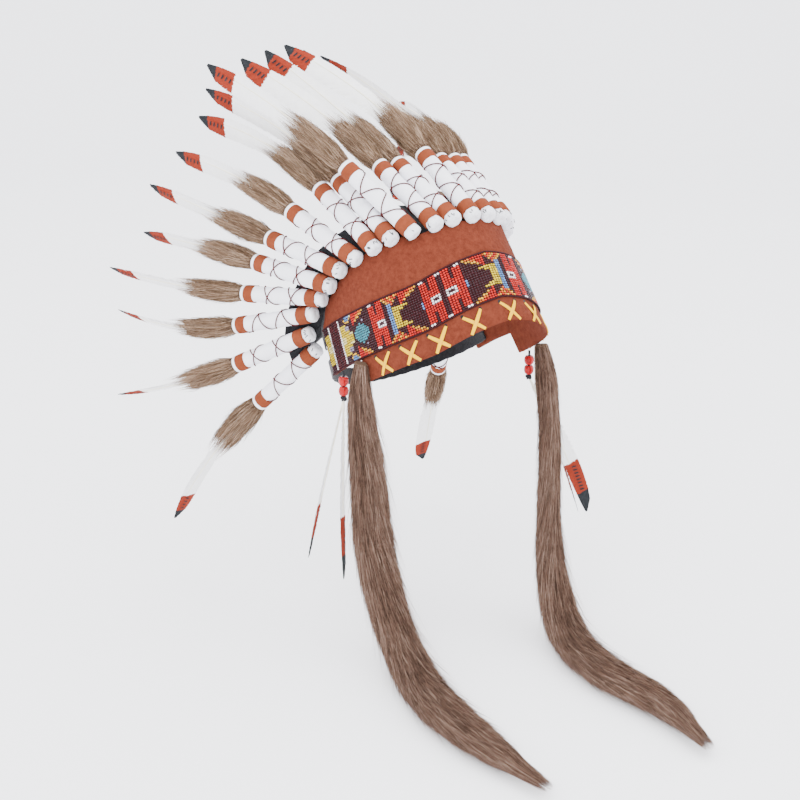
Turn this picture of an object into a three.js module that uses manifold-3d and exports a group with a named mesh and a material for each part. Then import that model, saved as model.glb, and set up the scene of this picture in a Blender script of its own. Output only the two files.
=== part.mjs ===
// Feathered headdress: a suede crown with a beaded band, a fan of quill sleeves with
// fur tufts and feathers, two fur tails and two feather drops.
// Millimetres and degrees, +Z up. The wearer faces -Y and the wearer's right is -X.
// The origin is the middle of the head opening, in the plane of the bead band's lower edge.

import * as THREE from 'three';
import { mergeVertices } from 'three/addons/utils/BufferGeometryUtils.js';
import Module from 'manifold-3d';

const wasm = await Module();
wasm.setup();

// Head opening and crown
const headLength = 194;
const headWidth = 153;
const crownTilt = 32;
const crownLean = 4;
const suedeWall = 2;
const sewnGap = 0.3;
const beadBandHeight = 40;
const beadBandWall = 1.7;
const bandEndTurn = 115.5;
const rearFlare = 10;
const flareStart = 96;
const flareEnd = 130;
const browHeight = 19;
const browEndTurn = 88;
const browStepTurn = 0.5;
const browSpans = 15;
const rearSpans = 5;

// Felt backing behind the sleeves, and the strap behind the head
const backingWall = 1.5;
const backingGap = 0.8;
const backingTuck = 12;
const backingReach = 39;
const backingOverhang = 4;
const strapHeight = 15;
const strapRise = 6;
const strapWall = 1.5;
const strapLap = 9;
const strapSpans = 16;

// Quill sleeves
const sleeveLength = 82;
const sleeveDiameter = 14.6;
const sleeveSides = 10;
const cuffDiameter = 15.2;
const padLength = 7;
const lowerCuffLength = 10;
const upperCuffLength = 9;
const rimLength = 3;
const panelClearance = 0.6;
const sleeveGap = 0.9;
const leadShare = 0.5;

// Fur tufts and feathers on the sleeves
const plumeReach = 160;
const tuftLength = 58;
const tuftWidth = 14.6;
const tuftDepth = 20;
const tuftSides = 6;
const vaneWidth = 24;
const quillThickness = 2.2;

// Fur tails
const floorDepth = 238;
const tailWidth = 34;
const tailThickness = 20;
const tailSides = 8;
const tailSpread = 80;
const tailForward = 260;

// Feather drops
const dropBeadDiameter = 8.5;
const dropCordWidth = 2.4;
const dropCordLength = 4;
const dropFeatherLength = 156;
const dropVaneWidth = 21;

// Lower edge of the bead band, as shares of its height, by turn from the middle of the brow
const bandWave = [
  { turn: 0, lift: 0.125 },
  { turn: 22, lift: 0.03 },
  { turn: 34, lift: -0.045 },
  { turn: 47, lift: -0.11 },
  { turn: 65, lift: -0.075 },
  { turn: 84, lift: -0.015 },
  { turn: 104, lift: 0.07 },
  { turn: 132, lift: 0.09 },
];

// One row for each sleeve from the middle of the brow to the back of the crown. rise is a share
// of the bead band's height. back and splay turn the sleeve from the crown's axis.
const fan = [
  { turn: 0, rise: 1.69, back: 25, splay: 0 },
  { turn: 12.2, rise: 1.69, back: 30, splay: 3 },
  { turn: 24, rise: 1.68, back: 28, splay: 4 },
  { turn: 35, rise: 1.75, back: 27, splay: 5 },
  { turn: 46.2, rise: 1.77, back: 28, splay: 3 },
  { turn: 57.3, rise: 1.75, back: 27, splay: 5 },
  { turn: 68.8, rise: 1.78, back: 34, splay: 12 },
  { turn: 80.5, rise: 1.79, back: 44, splay: 16 },
  { turn: 92, rise: 1.69, back: 49, splay: 20 },
  { turn: 102.3, rise: 1.61, back: 61, splay: 24 },
  { turn: 112, rise: 1.48, back: 73, splay: 26 },
  { turn: 121.5, rise: 1.27, back: 87, splay: 28 },
  { turn: 130, rise: 1.12, back: 106, splay: 22 },
];

// Plumes in the same order. back and splay turn the line to the feather's tip from the crown's
// axis, reach is a share of the plume's, and roll turns the blade about the sleeve.
const rightPlumes = [
  { back: 27, splay: 16, reach: 1.03, roll: 34 },
  { back: 26, splay: 14, reach: 1.03, roll: 34 },
  { back: 28, splay: 16, reach: 1.03, roll: 34 },
  { back: 26, splay: 21, reach: 0.94, roll: 34 },
  { back: 33, splay: 15, reach: 1, roll: 36 },
  { back: 38, splay: 14, reach: 0.92, roll: 32 },
  { back: 41, splay: 16, reach: 0.85, roll: 28 },
  { back: 44, splay: 17, reach: 0.89, roll: 28 },
  { back: 53, splay: 17, reach: 0.84, roll: 30 },
  { back: 55, splay: 23, reach: 0.94, roll: 32 },
  { back: 59, splay: 22, reach: 0.85, roll: 34 },
  { back: 79, splay: 28, reach: 0.83, roll: 40 },
  { back: 114, splay: 17, reach: 0.97, roll: 20 },
];
const leftPlumes = [
  { back: 27, splay: -16, reach: 1.03, roll: 34 },
  { back: 26, splay: -16, reach: 1.03, roll: 34 },
  { back: 28, splay: -14, reach: 1.03, roll: 34 },
  { back: 44, splay: 14, reach: 0.94, roll: 34 },
  { back: 55, splay: 16, reach: 1, roll: 36 },
  { back: 56, splay: 12, reach: 0.92, roll: 32 },
  { back: 45, splay: 14, reach: 0.85, roll: 28 },
  { back: 55, splay: 9, reach: 0.89, roll: 28 },
  { back: 56, splay: 17, reach: 0.84, roll: 30 },
  { back: 58, splay: 23, reach: 0.94, roll: 32 },
  { back: 61, splay: 22, reach: 0.85, roll: 34 },
  { back: 79, splay: 28, reach: 0.83, roll: 40 },
  { back: 114, splay: 17, reach: 0.97, roll: 20 },
];

// Sleeve that leans out across its neighbour on the wearer's right
const strayRow = 3;
const strayBack = 19;
const straySplay = 18;

// Feather outline, from the quill to the tip, as shares of its length and of the vane's width
const vaneOutline = [
  { along: 0.18, narrow: 0.06, broad: 0.06 },
  { along: 0.4, narrow: 0.2, broad: 0.3 },
  { along: 0.62, narrow: 0.3, broad: 0.5 },
  { along: 0.82, narrow: 0.26, broad: 0.42 },
  { along: 0.94, narrow: 0.18, broad: 0.3 },
];

const bareQuill = { along: 0, narrow: 0.05, broad: 0.05 };

// Fur tuft, from the sleeve's rim to the lock ends, as shares of its length and width
const tuftOutline = [
  { along: 0, size: 0.62 },
  { along: 0.16, size: 0.86 },
  { along: 0.72, size: 1 },
];
const tuftHeart = { along: 0.66, size: 0.42 };
const lockEnds = [
  { along: 1, flare: 1.02 },
  { along: 0.88, flare: 1.16 },
  { along: 0.97, flare: 0.96 },
  { along: 0.84, flare: 1.2 },
  { along: 1.04, flare: 0.9 },
  { along: 0.9, flare: 1.12 },
];

// Where the tails hang: turn and depth under the band's lower edge, offset from the head opening,
// and facing, the turn of the tail's broad side from the straight ahead
const tailSeats = {
  right: { turn: 86, under: 3, offset: 6.5, facing: -58 },
  left: { turn: 66, under: 20.8, offset: 1, facing: 54 },
};

// Middle lines of the tails, from the crown to the tips. out is a share of the spread,
// forward of the forward reach and drop of the height above the surface they lie on.
const rightTail = [
  { out: 0, forward: 0, drop: 0 },
  { out: 0.002, forward: -0.004, drop: 0.07 },
  { out: 0.008, forward: 0.001, drop: 0.156 },
  { out: 0.02, forward: 0.019, drop: 0.274 },
  { out: 0.02, forward: 0.043, drop: 0.389 },
  { out: 0.02, forward: 0.052, drop: 0.509 },
  { out: 0.02, forward: 0.08, drop: 0.689 },
  { out: 0.025, forward: 0.122, drop: 0.8 },
  { out: 0.045, forward: 0.18, drop: 0.9 },
  { out: 0.095, forward: 0.255, drop: 0.965 },
  { out: 0.18, forward: 0.345, drop: 0.995 },
  { out: 0.328, forward: 0.473, drop: 1 },
  { out: 0.431, forward: 0.636, drop: 1 },
  { out: 0.468, forward: 0.775, drop: 1 },
  { out: 0.483, forward: 0.911, drop: 1 },
  { out: 0.48, forward: 0.99, drop: 1 },
];
const leftTail = [
  { out: 0, forward: 0, drop: 0 },
  { out: 0.021, forward: 0.018, drop: 0.103 },
  { out: 0.046, forward: 0.027, drop: 0.22 },
  { out: 0.034, forward: 0.045, drop: 0.341 },
  { out: -0.004, forward: 0.061, drop: 0.481 },
  { out: -0.054, forward: 0.079, drop: 0.613 },
  { out: -0.113, forward: 0.109, drop: 0.765 },
  { out: -0.175, forward: 0.155, drop: 0.87 },
  { out: -0.27, forward: 0.22, drop: 0.95 },
  { out: -0.39, forward: 0.305, drop: 0.992 },
  { out: -0.5, forward: 0.4, drop: 1 },
  { out: -0.601, forward: 0.557, drop: 1 },
  { out: -0.59, forward: 0.7, drop: 1 },
  { out: -0.62, forward: 0.807, drop: 1 },
  { out: -0.77, forward: 0.951, drop: 1 },
];

// Where the drops hang: turn and depth under the band's lower edge
const dropSeats = {
  right: { turn: 108, under: 1 },
  left: { turn: 80, under: 20.5 },
};

// Feathers of the drops. out from the head and back are shares of the feather's length, roll
// turns the blade and bow is how far its middle stands out.
const dropFeathers = [
  { hand: 'right', out: 0.09, back: 0.24, roll: 40, bow: 1 },
  { hand: 'right', out: 0.06, back: -0.07, roll: 55, bow: 2 },
  { hand: 'left', out: 0.46, back: -0.02, roll: 110, bow: 8 },
  { hand: 'left', out: 0.44, back: 0.03, roll: 40, bow: 7 },
];

// Girth of a tail along its length, as a share of its width and thickness
const tailGirth = [
  { along: 0, width: 0.36, thickness: 0.36 },
  { along: 0.05, width: 0.56, thickness: 0.46 },
  { along: 0.1, width: 0.78, thickness: 0.64 },
  { along: 0.16, width: 0.9, thickness: 0.8 },
  { along: 0.24, width: 0.94, thickness: 0.92 },
  { along: 0.33, width: 0.98, thickness: 1 },
  { along: 0.4, width: 1, thickness: 1 },
  { along: 0.46, width: 1, thickness: 1 },
  { along: 0.51, width: 1.02, thickness: 1 },
  { along: 0.56, width: 1.04, thickness: 1 },
  { along: 0.61, width: 1.07, thickness: 1 },
  { along: 0.67, width: 1.1, thickness: 1 },
  { along: 0.77, width: 1.12, thickness: 0.95 },
  { along: 0.86, width: 0.98, thickness: 0.85 },
  { along: 0.93, width: 0.72, thickness: 0.7 },
];

// Shares of a tail's length where it has turned from the crown, and where it turns to lie flat
const freeFrom = 0.26;
const turnsFrom = 0.2;
const turnsUntil = 0.6;

// Locks of a tail: size of the waist between them and length, and the tip's spread and hollow
const lockWaist = 0.85;
const lockReach = 0.007;
const tipSpread = 0.4;
const tipReach = 0.95;
const tipHollow = 0.02;

const finishes = {
  suede: { color: 0x8e4628, roughness: 0.95 },
  beads: { color: 0x5a1c22, roughness: 0.35 },
  blackFelt: { color: 0x17161a, roughness: 0.95 },
  strap: { color: 0x1a1a1c, roughness: 0.8 },
  whiteFelt: { color: 0xe9e8ec, roughness: 0.9 },
  plume: { color: 0xd8d0c8, roughness: 0.85 },
  fur: { color: 0x7b6553, roughness: 0.9 },
  drop: { color: 0xe4ded8, roughness: 0.7 },
};

const radians = THREE.MathUtils.degToRad;
const mergeStep = 1e-4;

// Cubic value between the rows of a table
function tableValue(rows, key, column, at) {
  const last = rows.length - 1;
  if (at <= rows[0][key]) {
    return rows[0][column];
  }
  if (at >= rows[last][key]) {
    return rows[last][column];
  }
  const i = rows.findIndex((row) => row[key] > at) - 1;
  const slopeAt = (j) => {
    const a = rows[Math.max(j - 1, 0)];
    const b = rows[Math.min(j + 1, last)];
    return (b[column] - a[column]) / (b[key] - a[key]);
  };
  const span = rows[i + 1][key] - rows[i][key];
  const u = (at - rows[i][key]) / span;
  const u2 = u * u;
  const u3 = u2 * u;
  return (2 * u3 - 3 * u2 + 1) * rows[i][column] + (u3 - 2 * u2 + u) * span * slopeAt(i)
    + (3 * u2 - 2 * u3) * rows[i + 1][column] + (u3 - u2) * span * slopeAt(i + 1);
}

// Point of the crown's own frame, by turn from the brow, height and offset from the head opening
function crownPoint(turn, height, offset) {
  const fromBrow = Math.abs(turn) > 180 ? 360 - Math.abs(turn) : Math.abs(turn);
  const flare = rearFlare * THREE.MathUtils.smoothstep(fromBrow, flareStart, flareEnd);
  const out = offset + flare - height * Math.tan(radians(crownLean));
  const side = headWidth / 2 + out;
  const front = headLength / 2 + out;
  return new THREE.Vector3(-side * Math.sin(radians(turn)), -front * Math.cos(radians(turn)), height);
}

// Direction in the crown's own frame, tipped back and splayed to the wearer's right
function crownDirection(back, splay) {
  const b = radians(back);
  const s = radians(splay);
  return new THREE.Vector3(-Math.sin(s), Math.cos(s) * Math.sin(b), Math.cos(s) * Math.cos(b));
}

// Point of the crown's frame, seen in the part's frame
function fromCrown(point) {
  return point.clone().applyAxisAngle(new THREE.Vector3(1, 0, 0), -radians(crownTilt));
}

function bandBottom(turn) {
  return beadBandHeight * tableValue(bandWave, 'turn', 'lift', Math.abs(turn));
}

function quad(a, b, c, d) {
  return [[a, b, c], [a, c, d]];
}

function bodyFrom(triangles) {
  const loose = new THREE.BufferGeometry().setFromPoints(triangles.flat());
  const body = mergeVertices(loose, mergeStep);
  body.computeVertexNormals();
  return body;
}

// Closed wall between an outer and an inner grid of points, each a list of columns
function wallBetween(outer, inner) {
  const triangles = [];
  const last = outer.length - 1;
  const top = outer[0].length - 1;
  for (let i = 0; i < last; i += 1) {
    for (let j = 0; j < top; j += 1) {
      triangles.push(...quad(outer[i][j], outer[i][j + 1], outer[i + 1][j + 1], outer[i + 1][j]));
      triangles.push(...quad(inner[i + 1][j], inner[i + 1][j + 1], inner[i][j + 1], inner[i][j]));
    }
    triangles.push(...quad(outer[i + 1][0], inner[i + 1][0], inner[i][0], outer[i][0]));
    triangles.push(...quad(outer[i][top], inner[i][top], inner[i + 1][top], outer[i + 1][top]));
  }
  for (let j = 0; j < top; j += 1) {
    triangles.push(...quad(outer[0][j + 1], outer[0][j], inner[0][j], inner[0][j + 1]));
    triangles.push(...quad(outer[last][j], outer[last][j + 1], inner[last][j + 1], inner[last][j]));
  }
  return bodyFrom(triangles);
}

// Sides between rings of points that run anticlockwise about the way forward
function ringSides(rings) {
  const triangles = [];
  for (let r = 0; r + 1 < rings.length; r += 1) {
    const sides = rings[r].length;
    for (let i = 0; i < sides; i += 1) {
      const j = (i + 1) % sides;
      triangles.push(...quad(rings[r][i], rings[r][j], rings[r + 1][j], rings[r + 1][i]));
    }
  }
  return triangles;
}

function startCap(ring, point) {
  return ring.map((corner, i) => [ring[(i + 1) % ring.length], corner, point]);
}

function endCap(ring, point) {
  return ring.map((corner, i) => [corner, ring[(i + 1) % ring.length], point]);
}

// Locks of fur that stand on the rim between an outer and an inner ring, and the hollow in them
function lockCap(outer, inner, tips, heart) {
  const triangles = endCap(inner, heart);
  outer.forEach((corner, i) => {
    const j = (i + 1) % outer.length;
    triangles.push([corner, outer[j], tips[i]]);
    triangles.push([outer[j], inner[j], tips[i]]);
    triangles.push([inner[j], inner[i], tips[i]]);
    triangles.push([inner[i], corner, tips[i]]);
  });
  return triangles;
}

function solidOf(geometry) {
  return new wasm.Manifold(new wasm.Mesh({
    numProp: 3,
    vertProperties: geometry.getAttribute('position').array,
    triVerts: geometry.getIndex().array,
  }));
}

function geometryOf(solid) {
  const mesh = solid.getMesh();
  const geometry = new THREE.BufferGeometry();
  geometry.setAttribute('position', new THREE.BufferAttribute(mesh.vertProperties, 3));
  geometry.setIndex(new THREE.BufferAttribute(mesh.triVerts, 1));
  geometry.computeVertexNormals();
  return geometry;
}

function piece(name, geometry, finish) {
  const material = new THREE.MeshStandardMaterial({ ...finishes[finish], metalness: 0 });
  const mesh = new THREE.Mesh(geometry, material);
  mesh.name = name;
  return mesh;
}

// Body turned about its own length
function turned(profile, sides) {
  const points = profile.map(([radius, height]) => new THREE.Vector2(radius, height));
  const lathe = new THREE.LatheGeometry(points, sides);
  lathe.rotateX(Math.PI / 2);
  lathe.deleteAttribute('normal');
  lathe.deleteAttribute('uv');
  const body = mergeVertices(lathe, mergeStep);
  body.computeVertexNormals();
  return body;
}

// Radius of a sleeve along its length: padded end, cuff, body, cuff and rim
const bodyRadius = sleeveDiameter / 2;
const cuffRadius = cuffDiameter / 2;
const lowerCuffTop = padLength + lowerCuffLength;
const upperCuffTop = sleeveLength - rimLength;
const upperCuffBottom = upperCuffTop - upperCuffLength;
const sleeveProfile = [
  [0, 0],
  [0.62 * bodyRadius, 0],
  [0.96 * bodyRadius, 0.3 * padLength],
  [0.9 * bodyRadius, padLength],
  [cuffRadius, padLength + sewnGap],
  [cuffRadius, lowerCuffTop],
  [bodyRadius, lowerCuffTop + sewnGap],
  [bodyRadius, upperCuffBottom],
  [cuffRadius, upperCuffBottom + sewnGap],
  [cuffRadius, upperCuffTop],
  [bodyRadius, sleeveLength],
  [0, sleeveLength],
];

// Column of the backing that carries a sleeve, or the bare one beyond the last sleeve
function backingColumn(index, side, beyond) {
  const row = fan[index];
  const stray = side > 0 && index === strayRow;
  const back = stray ? strayBack : row.back;
  const splay = stray ? straySplay : row.splay;
  const turn = side * (row.turn + beyond);
  const anchor = crownPoint(turn, row.rise * beadBandHeight, -backingGap);
  const along = crownDirection(back, side * splay);
  const middle = anchor.clone().addScaledVector(along, backingReach / 2);
  return { row, side, turn, anchor, along, middle, bare: beyond > 0 };
}

// All the columns from the back of the wearer's left side to the back of the right
function backingColumns() {
  const last = fan.length - 1;
  const right = fan.map((row, index) => backingColumn(index, 1, 0));
  const left = fan.map((row, index) => backingColumn(index, -1, 0));
  const columns = [
    backingColumn(last, -1, backingOverhang),
    ...left.slice(1).reverse(),
    ...right,
    backingColumn(last, 1, backingOverhang),
  ];
  columns.forEach((column, i) => {
    const before = columns[Math.max(i - 1, 0)];
    const after = columns[Math.min(i + 1, columns.length - 1)];
    const across = after.middle.clone().sub(before.middle);
    column.outward = new THREE.Vector3().crossVectors(column.along, across).normalize();
  });
  return columns;
}

const columns = backingColumns();
const seats = columns.filter((column) => !column.bare);
seats.forEach((seat) => {
  const radial = new THREE.Vector3(seat.anchor.x, seat.anchor.y, 0).normalize();
  const lead = cuffDiameter * Math.max(0, seat.along.dot(radial) - leadShare);
  seat.place = seat.anchor.clone()
    .addScaledVector(seat.outward, cuffDiameter / 2 + sleeveGap)
    .addScaledVector(seat.along, lead);
});

// Lowest point of a sleeve over the crown's opening
function sleeveFoot(seat) {
  const level = Math.sqrt(1 - seat.along.z ** 2);
  const heights = sleeveProfile.map(([radius, along]) => along * seat.along.z - radius * level);
  return seat.place.z + Math.min(...heights);
}

// Top edge of the suede, just under each sleeve
function panelTop(turn) {
  const rows = seats.map((seat) => ({ turn: seat.turn, height: sleeveFoot(seat) - panelClearance }));
  const height = tableValue(rows, 'turn', 'height', turn);
  return Math.max(height, bandBottom(turn) + beadBandHeight);
}

// Turns at which the crown's walls have a column of points
function crownTurns() {
  const half = [];
  for (let i = 1; i <= browSpans; i += 1) {
    half.push((browEndTurn * i) / browSpans);
  }
  const rearStart = browEndTurn + browStepTurn;
  for (let i = 0; i <= rearSpans; i += 1) {
    half.push(rearStart + ((bandEndTurn - rearStart) * i) / rearSpans);
  }
  return [...half.map((turn) => -turn).reverse(), 0, ...half];
}

function crownPanel() {
  const column = (offset) => (turn) => {
    const brow = Math.abs(turn) <= browEndTurn ? browHeight : 0;
    return [
      crownPoint(turn, bandBottom(turn) - brow, offset),
      crownPoint(turn, panelTop(turn), offset),
    ];
  };
  const turns = crownTurns();
  return wallBetween(turns.map(column(suedeWall)), turns.map(column(0)));
}

function beadBand() {
  const column = (offset) => (turn) => [
    crownPoint(turn, bandBottom(turn), offset),
    crownPoint(turn, bandBottom(turn) + beadBandHeight, offset),
  ];
  const inside = suedeWall + sewnGap;
  const turns = crownTurns();
  return wallBetween(turns.map(column(inside + beadBandWall)), turns.map(column(inside)));
}

// Felt behind the sleeves: tucked inside the suede, then leaning along the sleeves
function backingBand() {
  const outer = [];
  const inner = [];
  columns.forEach(({ row, turn, anchor, along, outward }) => {
    const footHeight = row.rise * beadBandHeight - backingTuck;
    const brim = anchor.clone().addScaledVector(along, backingReach);
    outer.push([crownPoint(turn, footHeight, -backingGap), anchor, brim]);
    inner.push([
      crownPoint(turn, footHeight, -backingGap - backingWall),
      anchor.clone().addScaledVector(outward, -backingWall),
      brim.clone().addScaledVector(outward, -backingWall),
    ]);
  });
  return wallBetween(outer, inner);
}

function backStrap() {
  const outer = [];
  const inner = [];
  const start = bandEndTurn - strapLap;
  const sweep = 360 - 2 * start;
  for (let i = 0; i <= strapSpans; i += 1) {
    const turn = start + (sweep * i) / strapSpans;
    const low = strapRise;
    const high = strapRise + strapHeight;
    outer.push([crownPoint(turn, low, -backingGap), crownPoint(turn, high, -backingGap)]);
    const inside = -backingGap - strapWall;
    inner.push([crownPoint(turn, low, inside), crownPoint(turn, high, inside)]);
  }
  return wallBetween(outer, inner);
}

// Blade of a feather along a curve, its broad vane towards the given side
function featherBody(curve, across, width, outline) {
  const sectionAt = (along, narrow, broad, thick) => {
    const middle = curve.getPoint(along);
    const forward = curve.getTangent(along);
    const side = across.clone().addScaledVector(forward, -across.dot(forward)).normalize();
    const up = new THREE.Vector3().crossVectors(forward, side);
    return [
      middle.clone().addScaledVector(side, broad),
      middle.clone().addScaledVector(up, thick),
      middle.clone().addScaledVector(side, -narrow),
      middle.clone().addScaledVector(up, -thick),
    ];
  };
  const rings = outline.map((row) => sectionAt(
    row.along,
    row.narrow * width,
    row.broad * width,
    (quillThickness / 2) * (1 - 0.6 * row.along),
  ));
  const first = curve.getPoint(outline[0].along);
  return bodyFrom([
    ...startCap(rings[0], first),
    ...ringSides(rings),
    ...endCap(rings[rings.length - 1], curve.getPoint(1)),
  ]);
}

// Oval ring of points about a curve's way forward
function ovalRing(middle, side, up, halfWidth, halfDepth, sides) {
  const ring = [];
  for (let i = 0; i < sides; i += 1) {
    const angle = (2 * Math.PI * i) / sides;
    ring.push(middle.clone()
      .addScaledVector(side, halfWidth * Math.cos(angle))
      .addScaledVector(up, halfDepth * Math.sin(angle)));
  }
  return ring;
}

const xAxis = new THREE.Vector3(1, 0, 0);
const yAxis = new THREE.Vector3(0, 1, 0);

// Fur tuft that ends in locks, standing on the sleeve's rim
function furTuft(curve) {
  const halfWidth = tuftWidth / 2;
  const halfDepth = tuftDepth / 2;
  const share = tuftLength / plumeReach;
  const ringAt = (along, size) => ovalRing(
    curve.getPoint(along * share),
    xAxis,
    yAxis,
    halfWidth * size,
    halfDepth * size,
    tuftSides,
  );
  const rings = tuftOutline.map((row) => ringAt(row.along, row.size));
  const inner = ringAt(tuftHeart.along, tuftHeart.size);
  const tips = lockEnds.map((lock, i) => {
    const middle = curve.getPoint(lock.along * share);
    const angle = (2 * Math.PI * (i + 0.5)) / tuftSides;
    return middle
      .addScaledVector(xAxis, halfWidth * lock.flare * Math.cos(angle))
      .addScaledVector(yAxis, halfDepth * lock.flare * Math.sin(angle));
  });
  const heart = curve.getPoint((tuftHeart.along - 0.1) * share);
  return bodyFrom([
    ...startCap(rings[0], curve.getPoint(0)),
    ...ringSides(rings),
    ...lockCap(rings[rings.length - 1], inner, tips, heart),
  ]);
}

function plume(seat, frame) {
  const { side } = seat;
  const row = (side > 0 ? rightPlumes : leftPlumes)[fan.indexOf(seat.row)];
  const reach = plumeReach * row.reach;
  const tip = crownDirection(row.back, side * row.splay).multiplyScalar(reach);
  tip.applyQuaternion(frame.clone().invert());
  const bend = new THREE.Vector3(0, 0, 0.5 * reach);
  const curve = new THREE.QuadraticBezierCurve3(new THREE.Vector3(), bend, tip);
  const roll = radians(row.roll) * side;
  const across = new THREE.Vector3(-Math.cos(roll) * side, Math.sin(roll) * side, 0);
  const feather = featherBody(curve, across, vaneWidth, vaneOutline);
  return geometryOf(solidOf(furTuft(curve)).add(solidOf(feather)));
}

// Fur tail along its middle line, its locks lying over one another like shingles
function furTail(rows, seat, side) {
  const height = bandBottom(seat.turn) - seat.under;
  const top = fromCrown(crownPoint(side * seat.turn, height, seat.offset));
  const lying = floorDepth - tailThickness / 2;
  const line = new THREE.CatmullRomCurve3(rows.map((row) => new THREE.Vector3(
    top.x - side * row.out * tailSpread,
    top.y - row.forward * tailForward,
    top.z - row.drop * (top.z + lying),
  )), false, 'centripetal');
  const facing = radians(seat.facing);
  const sewnSide = new THREE.Vector3(0, -1, 0);
  const hangingSide = new THREE.Vector3(Math.cos(facing), Math.sin(facing), 0).multiplyScalar(side);
  const lyingSide = new THREE.Vector3(side, 0, 0);
  const frameAt = (along) => {
    const forward = line.getTangentAt(along);
    const free = THREE.MathUtils.smoothstep(along, 0, freeFrom);
    const flat = THREE.MathUtils.smoothstep(along, turnsFrom, turnsUntil);
    const wide = sewnSide.clone().lerp(hangingSide, free).lerp(lyingSide, flat);
    wide.addScaledVector(forward, -wide.dot(forward)).normalize();
    return { middle: line.getPointAt(along), wide, up: new THREE.Vector3().crossVectors(forward, wide) };
  };
  const ringAt = (along, size, reachOfLock) => {
    const width = 0.5 * tailWidth * tableValue(tailGirth, 'along', 'width', along);
    const thickness = 0.5 * tailThickness * tableValue(tailGirth, 'along', 'thickness', along);
    const ring = [];
    for (let i = 0; i < tailSides; i += 1) {
      const lock = i % 2 === 0;
      const frame = frameAt(Math.min(along + (lock ? reachOfLock : 0), 1));
      const angle = (2 * Math.PI * (i + 0.5)) / tailSides;
      ring.push(frame.middle
        .addScaledVector(frame.wide, width * size * Math.cos(angle))
        .addScaledVector(frame.up, thickness * size * Math.sin(angle)));
    }
    return ring;
  };
  const rings = [];
  tailGirth.forEach((row, i) => {
    if (i > 0) {
      rings.push(ringAt(row.along, 1, lockReach));
    }
    rings.push(ringAt(row.along, lockWaist, 0));
  });
  const end = tailGirth[tailGirth.length - 1].along;
  const inner = ringAt(end - 0.2 * tipHollow, tipSpread, 0);
  const tips = lockEnds.concat(lockEnds).slice(0, tailSides).map((lock, i) => {
    const along = end + (1 - end) * lock.along * tipReach;
    const frame = frameAt(Math.min(along, 1));
    const angle = (2 * Math.PI * (i + 1)) / tailSides;
    return frame.middle
      .addScaledVector(frame.wide, 0.5 * tipSpread * tailWidth * Math.cos(angle))
      .addScaledVector(frame.up, 0.5 * tipSpread * tailThickness * Math.sin(angle));
  });
  return bodyFrom([
    ...startCap(rings[0], line.getPointAt(0)),
    ...ringSides(rings),
    ...lockCap(rings[rings.length - 1], inner, tips, frameAt(end - tipHollow).middle),
  ]);
}

// Two beads over a knot and two feathers, hanging from the band's lower edge
function featherDrop(hand, side) {
  const bead = dropBeadDiameter / 2;
  const cord = dropCordWidth / 2;
  const top = -dropCordLength;
  const beads = turned([
    [0, 0],
    [cord, 0],
    [cord, top],
    [bead * 0.75, top - bead * 0.1],
    [bead, top - bead * 0.9],
    [bead * 0.75, top - bead * 1.7],
    [cord * 1.2, top - bead * 1.9],
    [bead * 0.75, top - bead * 2.1],
    [bead, top - bead * 2.9],
    [bead * 0.75, top - bead * 3.7],
    [cord * 1.5, top - bead * 3.9],
    [cord * 1.8, top - bead * 4.9],
    [cord, top - bead * 5.7],
    [0, top - bead * 5.7],
  ].reverse(), sleeveSides);
  const knot = top - bead * 4.5;
  const length = dropFeatherLength;
  const feathers = dropFeathers.filter((row) => row.hand === hand).map((row) => {
    const down = Math.sqrt(1 - row.out ** 2 - row.back ** 2);
    const start = new THREE.Vector3(0, 0, knot);
    const tip = new THREE.Vector3(-side * row.out, row.back, -down).multiplyScalar(length).add(start);
    const middle = start.clone().lerp(tip, 0.5).add(new THREE.Vector3(-side * row.bow, 0, 0));
    const curve = new THREE.QuadraticBezierCurve3(start, middle, tip);
    const across = new THREE.Vector3(Math.sin(radians(row.roll)), Math.cos(radians(row.roll)), 0);
    return solidOf(featherBody(curve, across, dropVaneWidth, [bareQuill, ...vaneOutline]));
  });
  return geometryOf(feathers.reduce((whole, feather) => whole.add(feather), solidOf(beads)));
}

const headdress = new THREE.Group();
const crown = new THREE.Group();
crown.rotation.x = -radians(crownTilt);
headdress.add(crown);

crown.add(piece('crown_panel', crownPanel(), 'suede'));
crown.add(piece('bead_band', beadBand(), 'beads'));
crown.add(piece('backing_band', backingBand(), 'blackFelt'));
crown.add(piece('back_strap', backStrap(), 'strap'));

seats.forEach((seat) => {
  const inward = seat.outward.clone().negate();
  const across = new THREE.Vector3().crossVectors(inward, seat.along);
  const basis = new THREE.Matrix4().makeBasis(across, inward, seat.along);
  const holder = new THREE.Group();
  holder.position.copy(seat.place);
  holder.quaternion.setFromRotationMatrix(basis);
  crown.add(holder);
  const number = String(fan.indexOf(seat.row)).padStart(2, '0');
  const hand = seat.side > 0 ? 'right' : 'left';
  const label = seat.row === fan[0] ? 'centre' : `${hand}_${number}`;
  const sleeve = piece(`quill_sleeve_${label}`, turned(sleeveProfile, sleeveSides), 'whiteFelt');
  const feather = piece(`plume_${label}`, plume(seat, holder.quaternion), 'plume');
  feather.position.z = sleeveLength + sewnGap;
  holder.add(sleeve, feather);
});

[1, -1].forEach((side) => {
  const hand = side > 0 ? 'right' : 'left';
  const rows = side > 0 ? rightTail : leftTail;
  headdress.add(piece(`fur_tail_${hand}`, furTail(rows, tailSeats[hand], side), 'fur'));
  const drop = piece(`feather_drop_${hand}`, featherDrop(hand, side), 'drop');
  const { turn, under } = dropSeats[hand];
  drop.position.copy(fromCrown(crownPoint(side * turn, bandBottom(turn) - under, suedeWall / 2)));
  headdress.add(drop);
});

export default headdress;
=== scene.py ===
"""Feathered headdress: a suede crown with a bead band, a fan of quill sleeves and plumes,
two fur tails and two feather drops."""
import math

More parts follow.
